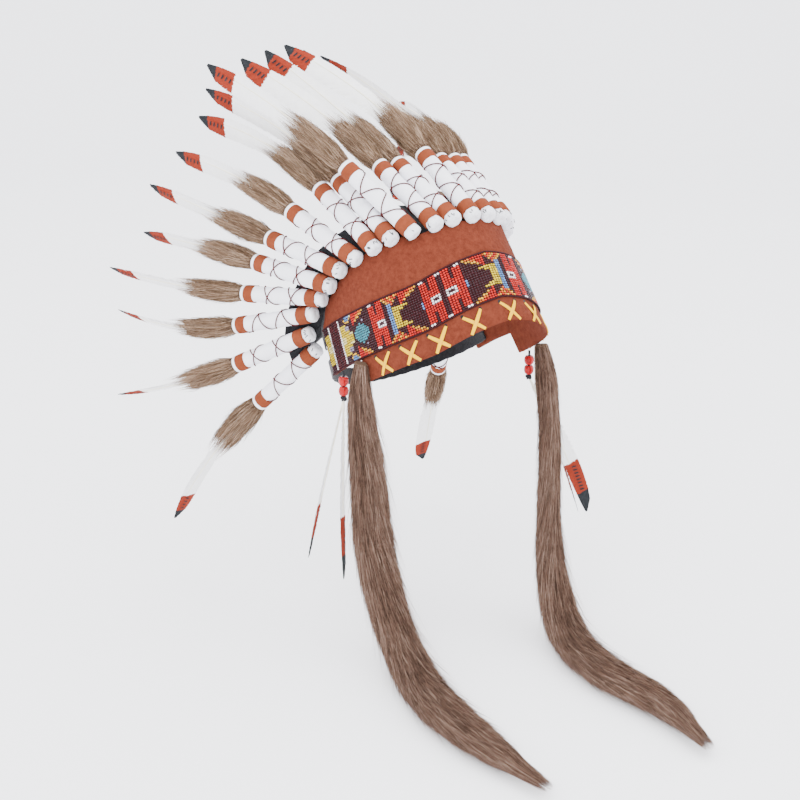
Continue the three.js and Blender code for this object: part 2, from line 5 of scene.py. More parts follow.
import bpy
import numpy as np
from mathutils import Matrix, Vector


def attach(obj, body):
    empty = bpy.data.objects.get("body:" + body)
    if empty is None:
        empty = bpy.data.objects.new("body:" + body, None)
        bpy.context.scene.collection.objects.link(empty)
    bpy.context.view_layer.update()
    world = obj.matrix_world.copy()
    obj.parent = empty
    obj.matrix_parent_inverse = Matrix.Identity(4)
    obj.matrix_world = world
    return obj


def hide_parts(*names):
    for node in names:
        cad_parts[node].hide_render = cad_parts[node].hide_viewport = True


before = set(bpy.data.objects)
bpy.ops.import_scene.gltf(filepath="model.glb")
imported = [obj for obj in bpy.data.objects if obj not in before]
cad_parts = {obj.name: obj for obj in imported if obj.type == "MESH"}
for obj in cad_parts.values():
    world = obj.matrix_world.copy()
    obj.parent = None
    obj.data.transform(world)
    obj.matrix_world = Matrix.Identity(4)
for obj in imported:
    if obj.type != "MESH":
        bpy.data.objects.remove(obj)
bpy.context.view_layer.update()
scene = bpy.context.scene

MM = 0.001
# Height of the surface that the tails lie on, in metres
FLOOR = -0.238

# Crown, in millimetres and degrees of turn from the brow
HEAD_LENGTH = 194
HEAD_WIDTH = 153
CROWN_TILT = math.radians(32)
CROWN_LEAN = math.radians(4)
REAR_FLARE = 10
FLARE_START = 96
FLARE_END = 130
SUEDE_WALL = 2.0
SEWN_GAP = 0.3
BAND_WALL = 1.7
BAND_END = 115.5
BROW_END = 88
BROW_HEIGHT = 19
BACKING_GAP = 0.8
STRAP_WALL = 1.5
STRAP_START = 106.5
STRAP_LOW = 6
STRAP_HIGH = 21

# Sleeves and plumes, in millimetres
SLEEVE_LENGTH = 82
SLEEVE_RADIUS = 7.3
THREAD_PITCH = 24
TUFT_LENGTH = 58
TUFT_HALF_WIDTH = 7.3
TUFT_HALF_DEPTH = 10
VANE_WIDTH = 24

# Fur tails, in millimetres
TAIL_WIDTH = 34
TAIL_THICKNESS = 20
TAIL_SPREAD = 80
TAIL_FORWARD = 260

# Drops, in millimetres
DROP_BEAD = 8.5
DROP_CORD_LENGTH = 4
DROP_FEATHER = 156
DROP_VANE = 17.5


# Materials

def new_material(name):
    made = bpy.data.materials.new(name)
    made.use_nodes = True
    nodes = made.node_tree.nodes
    return made, nodes, made.node_tree.links, nodes["Principled BSDF"]


def new_object(name, data):
    made = bpy.data.objects.new(name, data)
    scene.collection.objects.link(made)
    return made


def set_inputs(node, values):
    for name, value in values.items():
        node.inputs[name].default_value = value


def noise(nodes, links, scale, detail=4.0, roughness=0.6):
    node = nodes.new("ShaderNodeTexNoise")
    set_inputs(node, {"Scale": scale, "Detail": detail, "Roughness": roughness})
    links.new(nodes.new("ShaderNodeTexCoord").outputs["Object"], node.inputs["Vector"])
    return node.outputs["Fac"]


def ramp(nodes, links, value, stops):
    node = nodes.new("ShaderNodeValToRGB")
    elements = node.color_ramp.elements
    while len(elements) < len(stops):
        elements.new(0.5)
    for element, (at, colour) in zip(elements, stops):
        element.position = at
        element.color = (*colour, 1)
    links.new(value, node.inputs["Fac"])
    return node.outputs["Color"]


def bump(nodes, links, shader, height, distance):
    node = nodes.new("ShaderNodeBump")
    set_inputs(node, {"Distance": distance, "Strength": 1.0})
    links.new(height, node.inputs["Height"])
    links.new(node.outputs["Normal"], shader.inputs["Normal"])


def soft_material(name, dark, light, grain, fine, relief, roughness, sheen):
    """Cloth, leather or fur: two colours mixed by a coarse grain, with a fine nap in relief."""
    made, nodes, links, shader = new_material(name)
    coarse = noise(nodes, links, grain, detail=8.0, roughness=0.72)
    links.new(ramp(nodes, links, coarse, [(0.3, dark), (0.7, light)]), shader.inputs["Base Color"])
    bump(nodes, links, shader, noise(nodes, links, fine, detail=3.0), relief)
    set_inputs(shader, {"Roughness": roughness, "Specular IOR Level": 0.08})
    set_inputs(shader, {"Sheen Weight": sheen, "Sheen Tint": (1, 1, 1, 1)})
    return made


def glass_material(name, colour):
    """Glossy seed bead whose tone shifts a little from bead to bead."""
    made, nodes, links, shader = new_material(name)
    tone = noise(nodes, links, 420, detail=1.0)
    dark = tuple(0.62 * c for c in colour)
    light = tuple(min(1.0, 1.12 * c) for c in colour)
    links.new(ramp(nodes, links, tone, [(0.34, dark), (0.62, light)]), shader.inputs["Base Color"])
    set_inputs(shader, {"Roughness": 0.2, "Specular IOR Level": 0.22})
    return made


# Colours are linear red, green and blue.
# Soft materials: dark and light colour, grains and hairs of nap a metre, relief of the nap in metres,
# roughness and sheen
HAIR = (120, 2000, 0.0001, 0.85, 0)
SOFT_MATERIALS = {
    "suede": ((0.087, 0.017, 0.008), (0.164, 0.037, 0.019), 230, 1400, 0.0005, 0.92, 0),
    "cuff_suede": ((0.159, 0.036, 0.015), (0.215, 0.051, 0.022), 160, 1600, 0.0003, 0.92, 0),
    # Black felt of the backing, also used as the painted shade inside the lace holes
    "black_felt": ((0.007, 0.007, 0.009), (0.016, 0.016, 0.019), 300, 2200, 0.0004, 0.95, 0.2),
    "elastic": ((0.007, 0.007, 0.009), (0.022, 0.022, 0.025), 500, 1500, 0.0003, 0.8, 0.2),
    "white_satin": ((0.84, 0.84, 0.9), (0.92, 0.92, 0.97), 90, 1500, 0.00012, 0.6, 0.1),
    "pad_cloth": ((0.66, 0.66, 0.72), (0.96, 0.96, 0.99), 420, 1200, 0.0003, 0.7, 0.1),
    "thread_red": ((0.052, 0.007, 0.007), (0.093, 0.015, 0.013), 900, 3000, 0.0002, 0.7, 0),
    "band_thread": ((0.019, 0.004, 0.005), (0.039, 0.008, 0.01), 900, 3000, 0.0002, 0.7, 0),
    "speck_thread": ((0.012, 0.012, 0.014), (0.047, 0.047, 0.053), 900, 3000, 0.0002, 0.8, 0),
    "band_ground": ((0.021, 0.004, 0.004), (0.036, 0.006, 0.007), 400, 2400, 0.0003, 0.8, 0),
    "lace": ((0.746, 0.373, 0), (0.853, 0.488, 0), 500, 1800, 0.0002, 0.6, 0),
    "fur_core": ((0.056, 0.033, 0.021), (0.111, 0.067, 0.044), 500, 1400, 0.0006, 0.95, 0),
    "tuft_dark": ((0.075, 0.045, 0.027), (0.127, 0.078, 0.048), *HAIR),
    "tuft_mid": ((0.189, 0.118, 0.074), (0.27, 0.172, 0.111), *HAIR),
    "tuft_light": ((0.324, 0.217, 0.146), (0.423, 0.3, 0.214), *HAIR),
    "tail_dark": ((0.037, 0.021, 0.014), (0.075, 0.043, 0.03), *HAIR),
    "tail_mid": ((0.112, 0.064, 0.046), (0.174, 0.102, 0.073), *HAIR),
    "tail_light": ((0.224, 0.143, 0.107), (0.311, 0.21, 0.161), *HAIR),
    "vane_white": ((0.88, 0.87, 0.87), (0.96, 0.96, 0.96), 200, 2200, 0.00008, 0.8, 0.1),
    "vane_red": ((0.184, 0.021, 0.01), (0.256, 0.032, 0.016), 300, 2200, 0.00008, 0.8, 0),
    "vane_black": ((0.01, 0.012, 0.013), (0.027, 0.029, 0.033), 300, 2200, 0.00008, 0.75, 0),
    "quill": ((0.82, 0.77, 0.62), (0.93, 0.9, 0.8), 150, 900, 0.00005, 0.55, 0),
}
TUFT_TONES = ("tuft_dark", "tuft_mid", "tuft_light", "fur_core")
TAIL_TONES = ("tail_dark", "tail_mid", "tail_light", "fur_core")
PONY_RED = (0.4, 0.006, 0.008)
BEAD_COLOURS = {
    "dark": (0.025, 0.004, 0.007),
    "red": (0.415, 0.009, 0.004),
    "orange": (0.533, 0.089, 0.004),
    "gold": (0.593, 0.311, 0.022),
    "yellow": (0.548, 0.4, 0.009),
    "cream": (0.593, 0.519, 0.222),
    "white": (0.8, 0.78, 0.8),
    "lilac": (0.237, 0.2, 0.296),
    "blue": (0.089, 0.2, 0.415),
    "teal": (0.037, 0.2, 0.252),
    "maroon": (0.056, 0.004, 0.007),
}

materials = {name: soft_material(name, *row) for name, row in SOFT_MATERIALS.items()}
materials["pony_red"] = glass_material("pony_red", PONY_RED)
for bead_name, bead_colour in BEAD_COLOURS.items():
    materials[f"bead_{bead_name}"] = glass_material(f"bead_{bead_name}", bead_colour)


# Mesh building

class Build:
    """Points and faces gathered in arrays. Each face has the number of one of the named materials."""

    def __init__(self, *names):
        self.names = names
        self.points = []
        self.faces = []
        self.slots = []
        self.count = 0

    def add(self, points, faces, slot=0):
        points = np.asarray(points, float).reshape(-1, 3)
        faces = np.asarray(faces, int)
        self.points.append(points)
        self.faces.append(faces + self.count)
        self.slots.append(np.broadcast_to(np.asarray(slot, int), (len(faces),)))
        self.count += len(points)

    def piece(self, name, nodes):
        """Make the piece name, which stands for the nodes."""
        mesh = bpy.data.meshes.new(name)
        points = np.concatenate(self.points).astype(np.float32)
        sizes = np.concatenate([np.full(len(f), f.shape[1], np.int32) for f in self.faces])
        corners = np.concatenate([f.ravel() for f in self.faces]).astype(np.int32)
        starts = np.concatenate([[0], np.cumsum(sizes)[:-1]]).astype(np.int32)
        mesh.vertices.add(len(points))
        mesh.vertices.foreach_set("co", points.ravel())
        mesh.loops.add(len(corners))
        mesh.loops.foreach_set("vertex_index", corners)
        mesh.polygons.add(len(sizes))
        slots = np.concatenate(self.slots).astype(np.int32)
        smooth = np.ones(len(sizes), bool)
        kinds = ("loop_start", "loop_total", "material_index", "use_smooth")
        for kind, values in zip(kinds, (starts, sizes, slots, smooth)):
            mesh.polygons.foreach_set(kind, values)
        for material in self.names:
            mesh.materials.append(materials[material])
        mesh.update(calc_edges=True)
        mesh.validate()
        made = new_object(name, mesh)
        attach(made, "root")
        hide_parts(*nodes)
        return made


def grid_faces(rows, columns, closed=True):
    """Quads over a grid of points laid out row by row. The rows are rings where closed."""
    r, c = np.meshgrid(np.arange(rows - 1), np.arange(columns if closed else columns - 1), indexing="ij")
    r, c = r.ravel() * columns, c.ravel()
    after = (c + 1) % columns
    return np.stack([r + c, r + after, r + columns + after, r + columns + c], 1)


def add_cap(build, ring, middle, way, slot=0):
    """Fan of triangles from a ring of points to its middle. way is 1 or -1, for the side it faces."""
    i = np.arange(len(ring))
    fan = np.stack([i, (i + 1) % len(ring), np.full(len(ring), len(ring))], 1)
    build.add(np.concatenate([ring, np.reshape(middle, (1, 3))]), fan[:, ::way], slot)


def angles(count):
    """Angles evenly round a circle."""
    return np.arange(count) * 2 * np.pi / count


def run_along(line):
    """Length of a line up to each of its points."""
    return np.concatenate([[0], np.cumsum(np.linalg.norm(np.diff(line, axis=0), axis=1))])


def points_at(at, along, line):
    """Points of a line at the places at, where its own points are at the places along."""
    return np.stack([np.interp(at, along, line[:, k]) for k in range(3)], -1)


def wrapped(angle):
    """The same angle, within half a turn of 0."""
    return np.angle(np.exp(1j * angle))


def unit(v):
    return v / np.maximum(np.linalg.norm(v, axis=-1, keepdims=True), 1e-12)


def frames_along(path, hint):
    """Way forward, side and up at each point of a path, the side kept near the hint."""
    forward = unit(np.gradient(path, axis=0))
    side = unit(hint - (forward * hint).sum(-1, keepdims=True) * forward)
    return forward, side, np.cross(forward, side)


def add_tube(build, path, radius, sides, slot, hint):
    """Round tube along a path, closed at its ends."""
    path = np.asarray(path, float)
    _, side, up = frames_along(path, np.asarray(hint, float))
    radius = np.broadcast_to(np.asarray(radius, float), (len(path),))
    angle = angles(sides)[None, :, None]
    ring = np.cos(angle) * side[:, None] + np.sin(angle) * up[:, None]
    points = path[:, None] + ring * radius[:, None, None]
    build.add(points, grid_faces(len(path), sides), slot)
    add_cap(build, points[0], path[0], -1, slot)
    add_cap(build, points[-1], path[-1], 1, slot)


def smooth_step(low, high, value):
    """0 at low and 1 at high, with a smooth rise between them."""
    t = np.clip((value - low) / (high - low), 0, 1)
    return t * t * (3 - 2 * t)


# The crown's own frame

def ellipse_offset(from_brow, height, offset):
    """How far outside the head opening's ellipse a point of the crown lies."""
    flare = REAR_FLARE * smooth_step(FLARE_START, FLARE_END, from_brow)
    return offset + flare - height * math.tan(CROWN_LEAN)


def crown_point(turn, height, offset):
    """Points by turn from the brow in degrees, height and offset in millimetres."""
    turn, height, offset = np.broadcast_arrays(np.asarray(turn, float), height, offset)
    from_brow = np.where(np.abs(turn) > 180, 360 - np.abs(turn), np.abs(turn))
    out = ellipse_offset(from_brow, height, offset)
    angle = np.radians(turn)
    x = -(HEAD_WIDTH / 2 + out) * np.sin(angle)
    y = -(HEAD_LENGTH / 2 + out) * np.cos(angle)
    c, s = math.cos(CROWN_TILT), math.sin(CROWN_TILT)
    return np.stack([x, y * c + height * s, -y * s + height * c], -1) * MM


# Height in metres within which a node's points lie on one level
ONE_LEVEL = 2e-5


def node_points(name):
    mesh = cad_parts[name].data
    points = np.zeros(len(mesh.vertices) * 3)
    mesh.vertices.foreach_get("co", points)
    return points.reshape(-1, 3)


COLUMN_TURN = 0.4


def edges_of(name, offset):
    """Turn, lower and upper edge of each column of a crown wall, read from its outer points."""
    p = node_points(name) / MM
    c, s = math.cos(CROWN_TILT), math.sin(CROWN_TILT)
    x = p[:, 0]
    y = p[:, 1] * c - p[:, 2] * s
    height = p[:, 1] * s + p[:, 2] * c
    turn = np.zeros(len(p))
    for _ in range(6):
        out = ellipse_offset(np.abs(turn), height, offset)
        turn = np.degrees(np.arctan2(-x / (HEAD_WIDTH / 2 + out), -y / (HEAD_LENGTH / 2 + out)))
    key = np.round(turn / COLUMN_TURN).astype(int)
    found = np.unique(key)
    low = np.array([height[key == k].min() for k in found])
    high = np.array([height[key == k].max() for k in found])
    at = np.array([turn[key == k].mean() for k in found])
    return at, low, high


def add_wall(build, turns, low, high, outside, inside, rows, round_off, slot=0, ripple=None):
    """Curved wall with rounded rims between two offsets, its two ends closed."""
    span = np.linspace(0, 1, rows)
    profile = [(t, 1.0, 0.0) for t in span] + [(1.0, 0.5, 1.0)]
    profile += [(t, 0.0, 0.0) for t in span[::-1]] + [(0.0, 0.5, -1.0)]
    points = []
    for share, out, rim in profile:
        height = low + round_off + share * (high - low - 2 * round_off) + rim * round_off
        offset = inside + out * (outside - inside)
        if ripple is not None and rim == 0:
            offset = offset + ripple(turns, height)
        points.append(crown_point(turns, height, offset))
    points = np.stack(points, 1)
    build.add(points, grid_faces(len(turns), len(profile)), slot)
    add_cap(build, points[0], points[0].mean(0), 1, slot)
    add_cap(build, points[-1], points[-1].mean(0), -1, slot)


# Suede crown panel with the yellow lacing of its brow strip

panel_turn, _, panel_high = edges_of("crown_panel", 2)
band_turn, band_low, band_high = edges_of("bead_band", 4)


def band_bottom(turn):
    return np.interp(turn, band_turn, band_low)


def band_top(turn):
    return np.interp(turn, band_turn, band_high)


def suede_ripple(turn, height):
    """Slight waves of the leather, in millimetres."""
    return (
        0.14 * np.sin(turn * 0.31 + height * 0.17)
        + 0.1 * np.sin(turn * 0.83 - height * 0.29 + 1.3)
        + 0.06 * np.sin(turn * 1.9 + height * 0.6 + 0.4)
    )


# Rise of the suede's edge behind the padded ends: at the brow, how much more at the sides, the turns
# between which it grows, and the turn from which it falls to nothing
PANEL_RISE = 4.6
SIDE_RISE = 3.6
SIDE_FROM = 32
SIDE_FULL = 54
RISE_END = 106
# Turn taken by the step from the brow strip up to the band's edge
BROW_STEP = 0.5


def crown_panel():
    build = Build("suede")
    turns = np.concatenate([
        np.linspace(-BAND_END, -BROW_END - BROW_STEP, 24),
        np.linspace(-BROW_END, BROW_END, 142),
        np.linspace(BROW_END + BROW_STEP, BAND_END, 24),
    ])
    beside = np.abs(turns)
    low = band_bottom(turns) - np.where(beside <= BROW_END + 0.01, BROW_HEIGHT, 0)
    rise = PANEL_RISE + SIDE_RISE * smooth_step(SIDE_FROM, SIDE_FULL, beside)
    high = np.interp(turns, panel_turn, panel_high) + rise * smooth_step(BAND_END, RISE_END, beside)
    add_wall(build, turns, low, high, SUEDE_WALL, 0.0, 14, 0.8, 0, suede_ripple)
    build.piece("suede_crown_panel", ["crown_panel"])


# Crossed stitches of the lacing: their turns, then sizes in millimetres
STITCH_TURNS = (73.5, 57.5, 41.5, 21.5, -2.5, -22.5, -47.0, -66.0, -82.0)
STITCH_WIDTH = 15.5
HOLE_RADIUS = 1.5
HOLE_DEPTH = 2.6
LACE_HALF_WIDTH = 1.55
LACE_HALF_THICKNESS = 0.42
LACE_SIDES = 8


def lace_strip(build, start, end, rise):
    """Flat lace between two places, given as turn and depth under the band."""
    t = np.linspace(0, 1, 12)
    turn = start[0] + (end[0] - start[0]) * t
    depth = start[1] + (end[1] - start[1]) * t
    height = band_bottom(turn) - depth
    off = SUEDE_WALL + 0.1 + rise * np.sin(np.pi * np.clip(t * 1.02, 0, 1)) ** 0.7
    path = crown_point(turn, height, off)
    normal = unit(crown_point(turn, height, off + 1) - path)
    forward = unit(np.gradient(path, axis=0))
    side = unit(np.cross(forward, normal))
    width = LACE_HALF_WIDTH * MM * (0.62 + 0.38 * np.sin(np.pi * np.clip(t, 0.06, 0.94)) ** 0.5)
    angle = angles(LACE_SIDES)[None, :, None]
    ring = np.cos(angle) * side[:, None] * width[:, None, None]
    ring = ring + LACE_HALF_THICKNESS * MM * np.sin(angle) * normal[:, None]
    points = path[:, None] + ring
    build.add(points, grid_faces(len(t), LACE_SIDES), 0)
    add_cap(build, points[0], points[0].mean(0), -1)
    add_cap(build, points[-1], points[-1].mean(0), 1)


def lacing():
    build = Build("lace", "black_felt")
    bottom = BROW_HEIGHT - 0.3
    for turn in STITCH_TURNS:
        arc = np.linalg.norm(crown_point(turn + 1, 0, 2) - crown_point(turn, 0, 2)) / MM
        half = STITCH_WIDTH / 2 / arc
        left, right = turn + half, turn - half
        lace_strip(build, (left, 3.4), (right * 0.9 + left * 0.1, bottom), 0.5)
        lace_strip(build, (right, 2.8), (left * 0.85 + right * 0.15, bottom), 1.1)
        # Each hole is a dark plug in the black felt's material: painted shade of the hole
        for hole in (left, right):
            height = band_bottom(hole) - HOLE_DEPTH
            centre = crown_point(hole, height, SUEDE_WALL + 0.12)
            inner = crown_point(hole, height, SUEDE_WALL - 0.9)
            add_tube(build, [inner, centre], HOLE_RADIUS * MM, 10, 1, hint=(0, 0, 1))
    build.piece("brow_lacing", ["crown_panel"])


crown_panel()
lacing()


# Bead band: a bound ground with rows of seed beads in a charted repeat

BEAD_ROWS = 19
# Columns from the middle of the repeat to its end, where it is mirrored
HALF_REPEAT = 57
# Middle of the repeat along the band from the brow, and the columns' pitch to its right and left
REPEAT_CENTRE = 46.0
RIGHT_PITCH = 2.1
LEFT_PITCH = 2.42
BAND_MARGIN = 1.5
# Bound edge above and below the beads, the cord's radius there, and the ground's thickness
BINDING = 1.5
BINDING_CORD = 0.8
GROUND_WALL = 0.75
BEAD_HALF_DEPTH = 0.98

# Blocks of the repeat, from its centre outwards. Rows are counted from the band's middle line.
#   colour, first column, last column, first row, last row
BLOCKS = [
    ("white", 0, 0, 9, 9),
    ("blue", 8, 8, 0, 1),
    ("yellow", 18, 20, 0, 4), ("yellow", 14, 17, 4, 4), ("yellow", 16, 17, 3, 3),
    ("blue", 21, 22, 0, 6),
    ("teal", 34, 42, 0, 1), ("teal", 35, 41, 2, 2), ("teal", 36, 40, 3, 3), ("teal", 38, 38, 4, 4),
    ("lilac", 36, 36, 5, 5),
    ("cream", 43, 43, 9, 9), ("gold", 44, 48, 8, 8), ("blue", 44, 47, 9, 9), ("blue", 45, 47, 8, 8),
    ("gold", 45, 47, 7, 7),
    ("yellow", 44, 52, 0, 2), ("yellow", 46, 52, 3, 4), ("yellow", 48, 52, 5, 6),
    ("lilac", 46, 48, 4, 5), ("cream", 50, 52, 0, 1), ("cream", 44, 46, 2, 2),
    ("white", 53, 53, 0, 9),
    ("maroon", 54, 56, 0, 9), ("dark", 55, 55, 0, 5),
]
# First columns of the red double posts, the leaning triangles and the one that hangs from both edges
POSTS = (1, 25)
LEANING = (9, 35)
HANGING = 17


def bead_chart():
    """Colour of each bead of the half repeat, by column and by row from the middle line."""
    chart = np.full((HALF_REPEAT + 1, 10), "dark", dtype=object)

    def block(colour, c0, c1, r0, r1):
        chart[c0:c1 + 1, r0:r1 + 1] = colour

    for k in POSTS:
        block("red", k, k + 2, 0, 9)
        block("red", k + 3, k + 3, 0, 4)
        block("red", k + 4, k + 6, 0, 8)
        block("white", k + 5, k + 6, 9, 9)
        block("white", k, k + 3, 0, 1)
        block("dark", k + 1, k + 2, 0, 0)
    for k in LEANING:
        for i in range(8):
            depth = 9 - (i + 1) // 2
            for row in range(depth, 10):
                edge = row == depth and i < 6
                warm = "gold" if edge else ("orange" if row == depth + 1 and i < 5 else "red")
                chart[k + i, row] = warm
    for row in range(6, 10):
        for column in range(HANGING + 9 - row, HANGING + 8 - (9 - row)):
            chart[column, row] = ("gold", "red", "orange")[(column + 2 * row) % 3]
    for entry in BLOCKS:
        block(*entry)
    return chart


def bead_columns():
    """Turn, column of the repeat and half width in millimetres of each column along the band."""
    fine = np.linspace(-BAND_END, BAND_END, 4000)
    line = crown_point(fine, 20, SUEDE_WALL + SEWN_GAP + BAND_WALL) / MM
    arc = run_along(line)
    arc -= np.interp(0, fine, arc)
    first, last = arc[0] + BAND_MARGIN, arc[-1] - BAND_MARGIN
    made = []
    for way, pitch in ((1, RIGHT_PITCH), (-1, LEFT_PITCH)):
        for k in range(int((last - first) / pitch)):
            at = REPEAT_CENTRE + way * (k + 0.5) * pitch
            if first < at < last:
                fold = k % (2 * HALF_REPEAT)
                made.append((np.interp(at, arc, fine), min(fold, 2 * HALF_REPEAT - fold), pitch / 2))
    return made


def bead_shape(rings=4, sides=7):
    """Bead of unit radius with its hole left open, and its faces."""
    polar = np.linspace(0.16 * np.pi, 0.84 * np.pi, rings)
    points = [
        [np.cos(p) * 0.96, np.sin(p) * np.cos(a), np.sin(p) * np.sin(a)]
        for p in polar
        for a in angles(sides)
    ]
    return np.array(points), grid_faces(rings, sides)


def bead_band():
    ground = Build("band_ground", "band_thread")
    turns = np.linspace(-BAND_END, BAND_END, 190)
    low = band_bottom(turns)
    high = band_top(turns)
    inside = SUEDE_WALL + SEWN_GAP
    add_wall(ground, turns, low, high, inside + GROUND_WALL, inside, 4, 0.3)
    for height in (low + BINDING_CORD, high - BINDING_CORD):
        edge = crown_point(turns, height, inside + GROUND_WALL + 0.1)
        add_tube(ground, edge, BINDING_CORD * MM, 6, 1, hint=(0, 0, 1))
    ground.piece("bead_band_ground", ["bead_band"])

    names = list(BEAD_COLOURS)
    beads = Build(*[f"bead_{name}" for name in names])
    chart = bead_chart()
    shape, faces = bead_shape()
    random = np.random.default_rng(7)
    rows = np.arange(BEAD_ROWS) - BEAD_ROWS // 2
    centres, across, upward, outside, halves, slots = [], [], [], [], [], []
    for turn, column, half in bead_columns():
        bottom = band_bottom(turn)
        top = band_top(turn)
        pitch = (top - bottom - 2 * BINDING) / BEAD_ROWS
        heights = (bottom + top) / 2 + rows * pitch
        heights = heights + random.normal(0, 0.07, BEAD_ROWS)
        place = turn + random.normal(0, 0.05, BEAD_ROWS)
        offset = inside + 0.72 + random.normal(0, 0.05, BEAD_ROWS)
        centre = crown_point(place, heights, offset)
        out = unit(crown_point(place, heights, offset + 1) - centre)
        up = unit(crown_point(place, heights + 1, offset) - centre)
        centres.append(centre)
        outside.append(out)
        upward.append(up)
        across.append(np.cross(up, out))
        size = np.tile([half * 0.97, pitch * 0.5, BEAD_HALF_DEPTH], (BEAD_ROWS, 1))
        halves.append(size * random.normal(1, 0.03, (BEAD_ROWS, 1)))
        slots.extend(names.index(chart[column, abs(row)]) for row in rows)
    centres = np.concatenate(centres)
    halves = np.concatenate(halves) * MM
    points = centres[:, None]
    for k, way in enumerate((across, upward, outside)):
        points = points + (np.concatenate(way) * halves[:, k:k + 1])[:, None] * shape[None, :, k, None]
    firsts = np.arange(len(centres)) * len(shape)
    faces = faces[None] + firsts[:, None, None]
    beads.add(points, faces.reshape(-1, 4), np.repeat(slots, faces.shape[1]))
    beads.piece("seed_bead_rows", ["bead_band"])


bead_band()


# Felt backing and elastic strap

# Softened rims and nap of the felt in millimetres, and the grain of its nap in metres
FELT_RIM = 0.45
FELT_NAP = 0.5
FELT_NAP_SIZE = 0.012


def backing():
    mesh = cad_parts["backing_band"].data.copy()
    made = new_object("felt_backing", mesh)
    mesh.materials.clear()
    mesh.materials.append(materials["black_felt"])
    for polygon in mesh.polygons:
        polygon.material_index = 0
    bevel = made.modifiers.new("rims", "BEVEL")
    bevel.width = FELT_RIM * MM
    bevel.segments = 2
    bevel.limit_method = "ANGLE"
    bevel.angle_limit = math.radians(50)
    divide = made.modifiers.new("divide", "SUBSURF")
    divide.subdivision_type = "SIMPLE"
    divide.levels = 2
    divide.render_levels = 2
    texture = bpy.data.textures.new("felt_nap", "CLOUDS")
    texture.noise_scale = FELT_NAP_SIZE
    push = made.modifiers.new("nap", "DISPLACE")
    push.texture = texture
    push.strength = FELT_NAP * MM
    push.mid_level = 0.5
    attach(made, "root")
    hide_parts("backing_band")


def strap_ribs(turn, height):
    """Ribs of the elastic, in millimetres."""
    return 0.12 * np.sin(height * 4.2)


def back_strap():
    build = Build("elastic")
    turns = np.linspace(STRAP_START, 360 - STRAP_START, 120)
    wave = 0.25 * np.sin(turns * 0.9)
    low, high = STRAP_LOW + wave, STRAP_HIGH + wave
    add_wall(build, turns, low, high, -BACKING_GAP, -BACKING_GAP - STRAP_WALL, 22, 0.5, 0, strap_ribs)
    build.piece("elastic_strap", ["back_strap"])


backing()
back_strap()


# Quill sleeves

# Middle of the fan behind the head opening's middle, in metres
FAN_MIDDLE = 0.03


def sleeve_axis(name, plume_name):
    """Base point, way up and an inward side of a sleeve, from its node."""
    points = node_points(name)
    middle = points.mean(0)
    _, _, axes = np.linalg.svd(points - middle, full_matrices=False)
    way = axes[0]
    if (node_points(plume_name).mean(0) - middle) @ way < 0:
        way = -way
    reach = (points - middle) @ way
    base = points[reach < reach.min() + ONE_LEVEL].mean(0)
    inward = -np.array([base[0], base[1] - FAN_MIDDLE, 0.0])
    inward = unit(inward - (inward @ way) * way)
    return base, way, inward


# Kinds of cloth on a sleeve
PAD, SATIN, CUFF, THREAD, SPECK = range(5)
# Profile in runs of one kind: radius and height of the rings
SLEEVE_PROFILE = [
    (PAD, [(1.0, 0.5), (2.6, 0.12), (4.6, 0.25), (6.1, 0.9), (6.9, 2.0), (7.1, 3.3), (6.9, 5.0), (6.6, 6.4),
           (6.7, 7.1)]),
    (CUFF, [(7.3, 7.2), (7.55, 7.7), (7.6, 9.5), (7.58, 12.0), (7.6, 15.0), (7.5, 16.6), (7.2, 17.1)]),
    (SATIN, [(7.05, 17.5), (7.12, 20), (7.2, 26), (7.16, 33), (7.22, 40), (7.14, 47), (7.2, 54), (7.15, 61),
             (7.1, 67), (7.0, 70.0)]),
    (CUFF, [(7.2, 70.3), (7.52, 70.8), (7.6, 72.5), (7.58, 76), (7.45, 78.5), (7.15, 79.1)]),
    (SATIN, [(7.0, 79.5), (7.28, 80.2), (7.3, 81.2), (7.0, 82.0), (6.2, 81.9), (5.4, 80.5)]),
]
SLEEVE_SIDES = 36
SATIN_FROM = 17.5
SATIN_TO = 70.0
# Depths of the winding's seam and of the gathers
SEAM_DEPTH = 0.45
PLEAT_DEPTH = 0.22
THREAD_RADIUS = 0.52
STITCH_RADIUS = 0.34
STITCHES = 6


